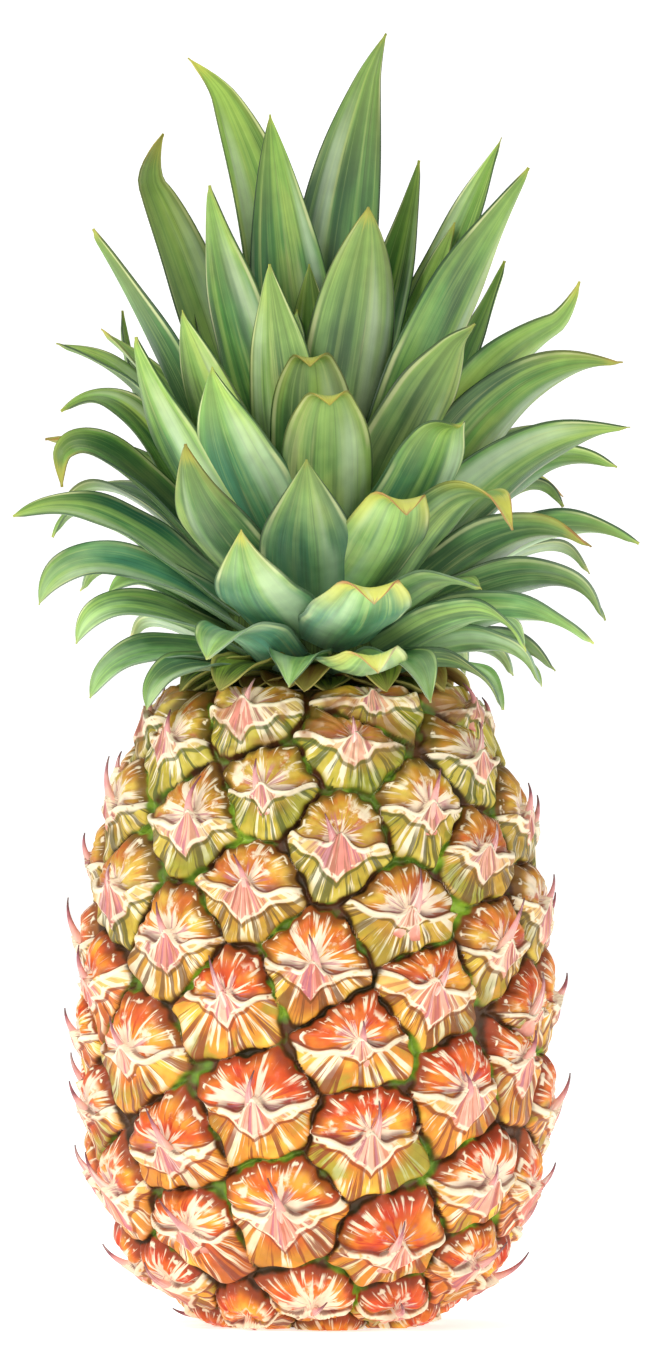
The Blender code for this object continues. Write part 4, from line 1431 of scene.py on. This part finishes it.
@dataclass
class Crown:
    """The crown: its heart, the leaves seen first, the tiers of the far side, and the withered scales.

    Attributes:
        foot: Height of the heart's foot.
        heart: Radius and height over the foot of the heart, in mm, from its foot to its top.
        root_depth: How deep in the heart a leaf starts, as a share of its radius.
        handle: How stiffly a leaf keeps its slopes at both ends, as a share of its length.
        crowding: How much closer its points lie towards the tip.
        flicked: Share of the length at which a tip's flick starts.
        widest: Share of the length at which a leaf is widest.
        stations: Points along a leaf.
        strips: Points across a leaf.
        channel: Depth of the channel as a share of half the width.
        keel: Thickness along the middle.
        edge: Thickness at the margins.
        tiers: Least height in mm of the roots of the inner and the middle leaves.
    """

    foot: float
    heart: tuple = ((21.0, 0.0), (25.0, 10.0), (25.0, 24.0), (20.0, 38.0), (12.0, 52.0), (5.0, 64.0))
    root_depth: float = 0.6
    handle: float = 0.38
    crowding: float = 1.3
    flicked: float = 0.905
    widest: float = 0.45
    stations: int = 42
    strips: int = 15
    channel: float = 0.34
    keel: float = 1.6 * MM
    edge: float = 0.45 * MM
    tiers: tuple[float, float] = (195, 180)

    @staticmethod
    def far_leaves() -> list[Leaf]:
        """The leaves of the far side, drawn from the tiers.

        Returns:
            The leaves.
        """
        draw = random.Random(7)
        made = []
        for count, first, step, reach, up, root, *shape in FAR_TIERS:
            for k in range(count):
                facing = first + k * step + draw.uniform(-5, 5)
                turn = math.radians(facing + draw.uniform(-5, 5))
                out, height = reach * draw.uniform(0.9, 1.05), up + draw.uniform(-8, 6)
                tip = (out * math.sin(turn), out * math.cos(turn), height)
                made.append(Leaf(facing, *tip, root, *shape, blue=0.2, burnt=draw.uniform(0, 0.8)))
        return made

    @staticmethod
    def withered() -> list[Leaf]:
        """The withered scales round the joint with the fruit.

        Returns:
            The scales, which are made like leaves.
        """
        draw = random.Random(8)
        made = []
        for count, spread, reach, reaches, *shape in SCALE_TIERS:
            for k in range(count):
                facing = 360 * (k + draw.uniform(*spread)) / count
                out, turn = reach * draw.uniform(*reaches), math.radians(facing)
                made.append(Leaf(facing, out * math.sin(turn), out * math.cos(turn), *shape))
        return made

    def shares(self) -> np.ndarray:
        """Shares of the length at which a leaf has points, closer together towards the tip."""
        return 1 - (1 - np.linspace(0, 1, self.stations)) ** self.crowding

    def outline(self, leaf: Leaf) -> tuple[np.ndarray, np.ndarray]:
        """The middle line of a leaf and the way it runs.

        Args:
            leaf: The leaf.

        Returns:
            Places along the middle line and the direction at each.
        """
        outward = around(math.radians(leaf.facing))
        radii, heights = zip(*self.heart)
        inside = self.root_depth * np.interp(leaf.root - self.foot / MM, heights, radii)
        root = (outward * inside + leaf.root * UP) * MM
        tip = np.array([leaf.right, -leaf.front, leaf.up]) * MM
        handle = self.handle * np.linalg.norm(tip - root)
        away = unit((tip - root) * (1, 1, 0))
        rise, fall = math.radians(leaf.rise), math.radians(leaf.fall)
        first = root + handle * (outward * math.cos(rise) + UP * math.sin(rise))
        second = tip - handle * (away * math.cos(fall) + UP * math.sin(fall))
        t = self.shares()[:, None]
        u = 1 - t
        line = u**3 * root + 3 * u * u * t * first + 3 * u * t * t * second + t**3 * tip
        ahead = u * u * (first - root) + 2 * u * t * (second - first) + t * t * (tip - second)
        if any(leaf.flick):
            push = np.array([leaf.flick[0], 0.0, leaf.flick[1]]) * MM
            line = line + push * np.clip((t - self.flicked) / (1 - self.flicked), 0, 1) ** 1.7
            ahead = np.gradient(line, axis=0)
        return line, unit(ahead)

    def blade(self, leaf: Leaf, number: int) -> tuple[np.ndarray, np.ndarray, dict[str, np.ndarray]]:
        """The surface of a leaf.

        Args:
            leaf: The leaf.
            number: Its number, which seeds its small differences.

        Returns:
            Its points, its faces and what the points carry.
        """
        draw = np.random.default_rng(number + 100)
        line, ahead = self.outline(leaf)
        t = self.shares()
        across = around(math.radians(leaf.facing + 90))
        side = unit(across - (ahead @ across)[:, None] * ahead)
        upper = np.cross(ahead, side)
        cosine, sine = math.cos(math.radians(leaf.roll)), -math.sin(math.radians(leaf.roll))
        side, upper = side * cosine + upper * sine, upper * cosine - side * sine
        if leaf.curl:
            line, ahead, upper = self.curled(line, ahead, upper, leaf)
        taper = 1 - np.maximum(0.0, (t - self.widest) / (1 - self.widest)) ** (2.1 + 2.4 * leaf.blunt)
        width = leaf.width * MM * taper * (0.8 + 0.2 * np.minimum(1, t / self.widest))
        half = np.maximum(width, 0.5 * MM) / 2
        w = np.sin(np.linspace(-math.pi / 2, math.pi / 2, self.strips))
        wave = np.sin(t * draw.uniform(14, 24) + draw.uniform(0, 6))[:, None] * 0.3 * MM * w**2 * np.sign(w)
        sag = self.channel * half * (1 - 0.25 * t)
        lift = sag[:, None] * np.abs(w) ** 1.7 + wave * smooth(t, 0.05, 0.3)[:, None]
        body = np.minimum(self.keel * (1 - 0.55 * t), 0.6 * half)[:, None] * (1 - np.abs(w)) ** 0.7
        under = lift - body - np.minimum(self.edge, 0.5 * half)[:, None]
        spread = line[:, None] + side[:, None] * (half[:, None] * w)[..., None]
        top, low = (spread + upper[:, None] * height[..., None] for height in (lift, under))
        ring = np.concatenate([top, low[:, ::-1]], axis=1)
        wide = ring.shape[1]
        caps = []
        for start, flipped in ((0, True), ((self.stations - 1) * wide, False)):
            for k in range(self.strips - 1):
                cap = (start + k, start + k + 1, start + wide - 2 - k, start + wide - 1 - k)
                caps.append(cap[::-1] if flipped else cap)
        faces = np.concatenate([woven(self.stations, wide), caps])
        own = {"pale": leaf.pale, "blue": leaf.blue, "burnt": leaf.burnt, "seed": draw.uniform()}
        own |= {"along": t[:, None], "across": np.concatenate([w, w[::-1]])}
        own["under"] = np.arange(wide) >= self.strips
        values = {key: np.broadcast_to(value, ring.shape[:2]).ravel() for key, value in own.items()}
        return ring.reshape(-1, 3), faces, values

    def curled(
        self, line: np.ndarray, ahead: np.ndarray, upper: np.ndarray, leaf: Leaf
    ) -> tuple[np.ndarray, np.ndarray, np.ndarray]:
        """Bends the last stretch of a leaf on about its own width.

        Args:
            line: Places along the middle line.
            ahead: The way the line runs.
            upper: The way its upper face looks.
            leaf: The leaf, with its curl and fold.

        Returns:
            The new line, directions and upper ways.
        """
        t = self.shares()
        bend = (math.radians(leaf.curl) * smooth(t, leaf.fold, min(1.0, leaf.fold + 0.2)))[:, None]
        turned = ahead * np.cos(bend) - upper * np.sin(bend)
        facing = upper * np.cos(bend) + ahead * np.sin(bend)
        step = np.linalg.norm(np.diff(line, axis=0), axis=1, keepdims=True)
        new = np.concatenate([line[:1], line[:1] + np.cumsum(step * (turned[1:] + turned[:-1]) / 2, axis=0)])
        kept = t < leaf.fold
        new = new + (line[kept][-1] - new[kept][-1])
        new[kept] = line[kept]
        return new, turned, facing

    def gather(
        self, name: str, leaves: list[Leaf], first: int, material: bpy.types.Material
    ) -> bpy.types.Object:
        """Builds several leaves as one piece.

        Args:
            name: Name of the piece.
            leaves: The leaves.
            first: Number of the first.
            material: Their finish.

        Returns:
            The piece.
        """
        points, faces, values = zip(*(self.blade(leaf, first + k) for k, leaf in enumerate(leaves)))
        moved = [given + k * len(points[0]) for k, given in enumerate(faces)]
        joined = {key: np.concatenate([value[key] for value in values]) for key in values[0]}
        return mesh_piece(name, np.concatenate(points), np.concatenate(moved), joined, material)

    def build_heart(self, material: bpy.types.Material) -> bpy.types.Object:
        """The short stem under the leaves, ridged where they clasp it.

        Args:
            material: Its finish.

        Returns:
            The piece.
        """
        sides, rows, ridges = 72, 60, 13
        radii, heights = zip(*self.heart)
        z = np.linspace(0, heights[-1], rows)[:, None]
        turn = np.linspace(0, FULL_TURN, sides, endpoint=False)
        ridge = 1 + 0.03 * np.cos(ridges * turn + 0.12 * z) * smooth(z, 0, 6)
        reach = (np.interp(z, heights, radii) * ridge)[..., None] * MM
        grid = reach * around(turn) + (self.foot + z * MM)[..., None] * UP
        ends = [g.mean(0) + 0.004 * (g - g.mean(0)) for g in (grid[0], grid[-1])]
        grid = np.concatenate([ends[0][None], grid, ends[1][None]])
        along = np.repeat(np.linspace(0, 1, len(grid))[:, None], sides, 1)
        values = {"along": along, "across": 0.7 * np.sin(ridges * turn) + 0 * along, "seed": 0 * along}
        return mesh_piece("crown_heart", grid, woven(len(grid), sides), values, material)

    def build(self) -> list[bpy.types.Object]:
        """Builds the pieces of the crown.

        Returns:
            The pieces, the heart first.
        """
        green, scale = LeafSkin().make(), WitheredSkin().make()
        fresh = (92, 116, 54)
        core = WitheredSkin(
            name="heart_skin", fresh=fresh, dry=(54, 72, 30), edge=(150, 150, 86), turned=fresh
        )
        inner, middle = self.tiers
        tiers = {
            "leaves_inner": [leaf for leaf in SEEN_LEAVES if leaf.root >= inner],
            "leaves_middle": [leaf for leaf in SEEN_LEAVES if middle <= leaf.root < inner],
            "leaves_outer": [leaf for leaf in SEEN_LEAVES if leaf.root < middle],
            "leaves_far": self.far_leaves(),
        }
        made = [self.build_heart(core.make())]
        made += [self.gather(name, leaves, 100 * k, green) for k, (name, leaves) in enumerate(tiers.items())]
        return [*made, self.gather("withered_scales", self.withered(), 400, scale)]


@dataclass
class StalkEnd:
    """The cut end of the stalk in the base.

    Attributes:
        radius: Its radius.
        depth: How far it goes in.
        sides: Points round it.
        rings: Rings over the cut.
        torn: Depth of the torn fibres.
        dish: Depth of the dished middle.
    """

    radius: float = 13.0 * MM
    depth: float = 8.0 * MM
    sides: int = 96
    rings: int = 26
    torn: float = 0.5 * MM
    dish: float = 0.6 * MM

    def build(self) -> bpy.types.Object:
        """Builds the plug with a dished, fibrous cut.

        Returns:
            The piece.
        """
        ring = around(np.linspace(0, FULL_TURN, self.sides, endpoint=False)) * self.radius
        share = np.linspace(0.002, 1, self.rings)[:, None]
        cut = share[..., None] * ring
        fibres = 0.5 + 0.5 * soft_noise(cut.reshape(-1, 3), 1.1 * MM, 9).reshape(self.rings, -1)
        sink = self.torn * fibres * smooth(share, 1.0, 0.9) + self.dish * smooth(share, 0.5, 0.0)
        wall = [ring + height * UP for height in (1.0 * MM, self.depth * 0.5, self.depth)]
        grid = np.concatenate([cut + sink[..., None] * UP, wall, [cut[0] + self.depth * UP]])
        values = {"out": np.linalg.norm(grid[..., :2], axis=-1) / self.radius}
        return mesh_piece("stalk_cut", grid, woven(len(grid), self.sides), values, StalkSkin().make())


@dataclass
class Studio:
    """The floor, the light and the camera.

    Attributes:
        distance: From the origin to the camera.
        height: Height of the camera.
        aside: How far the camera stands right of the origin.
        seen: Height of the picture at the origin.
        sensor: Width of the sensor, for the long side of the picture, in mm.
        flat: Radius to which the floor is flat.
        curve: Radius of its rolled-up rim.
        air: Strength of the light from all round.
        target: Where the lamps look.
    """

    distance: float = 3.0
    height: float = 0.169
    aside: float = 0.0016
    seen: float = 0.351
    sensor: float = 36.0
    flat: float = 6.0
    curve: float = 2.2
    air: float = 0.4
    target: tuple[float, float, float] = (0.0, 0.0, 0.17)

    def build_floor(self) -> None:
        """The round paper floor, rolled up at its far rim."""
        sides = 64
        bends = np.linspace(0.06, math.pi / 2, 20)
        profile = [(reach, 0.0) for reach in (0.01, 0.3, 1.0, 2.5, 4.5, self.flat)]
        profile += [(self.flat + self.curve * math.sin(a), self.curve * (1 - math.cos(a))) for a in bends]
        ring = around(np.linspace(0, FULL_TURN, sides, endpoint=False))
        grid = np.array([reach * ring + up * UP for reach, up in profile])
        middle = [(0, k, k + 1, k + 1) for k in range(1, sides - 1)]
        faces = np.concatenate([woven(len(grid), sides)[:, ::-1], middle])
        mesh_piece("paper_floor", grid, faces, {}, PaperFloor().make())

    def light(self, name: str, place: tuple, size: float, power: float, colour: tuple) -> None:
        """A soft square lamp that looks at the fruit.

        Args:
            name: Its name.
            place: Where it stands.
            size: Length of its sides.
            power: Its power in watts.
            colour: The linear colour of its light.
        """
        lamp = bpy.data.lights.new(name, "AREA")
        lamp.shape = "SQUARE"
        lamp.size = size
        lamp.energy = power
        lamp.color = colour
        made = bpy.data.objects.new(name, lamp)
        made.location = place
        made.rotation_euler = (Vector(self.target) - Vector(place)).to_track_quat("-Z", "Y").to_euler()
        bpy.context.scene.collection.objects.link(made)

    def build(self) -> None:
        """Sets up the whole studio."""
        self.build_floor()
        self.light("key_light", (-1.3, -1.5, 1.5), 1.0, 30.0, (1.0, 0.985, 0.96))
        self.light("fill_light", (1.6, -1.4, 0.7), 1.6, 8.0, (0.97, 0.98, 1.0))
        self.light("top_light", (0.0, 0.6, 2.2), 1.6, 12.0, (1.0, 1.0, 1.0))
        world = bpy.data.worlds.new("studio_air")
        world.use_nodes = True
        sockets = world.node_tree.nodes["Background"].inputs
        sockets["Color"].default_value = (1.0, 1.0, 1.0, 1.0)
        sockets["Strength"].default_value = self.air
        scene = bpy.context.scene
        scene.world = world
        scene.view_settings.view_transform = "Standard"
        camera = bpy.data.cameras.new("camera")
        camera.sensor_width = self.sensor
        camera.lens = self.sensor * self.distance / self.seen
        camera.clip_end = 100.0
        made = bpy.data.objects.new("camera", camera)
        made.location = (self.aside, -self.distance, self.height)
        made.rotation_euler = (math.pi / 2, 0.0, 0.0)
        scene.collection.objects.link(made)
        scene.camera = made


def main() -> None:
    """Builds the pineapple and its studio in order."""
    logging.basicConfig(level=logging.INFO, format="%(name)s: %(message)s")
    Effects()
    barrel = Barrel()
    spiral = EyeSpiral(barrel)
    for quarter in FruitSkin(barrel, spiral).build(EyeSkin().make()):
        present(quarter, "fruit")
    present(Spines(barrel, spiral).build(SpineSkin().make()), "fruit")
    for piece in Crown(foot=barrel.neck_height + 0.3 * MM).build():
        present(piece, "crown")
    present(StalkEnd().build(), "stalk")
    Studio().build()


if __name__ == "__main__":
    main()
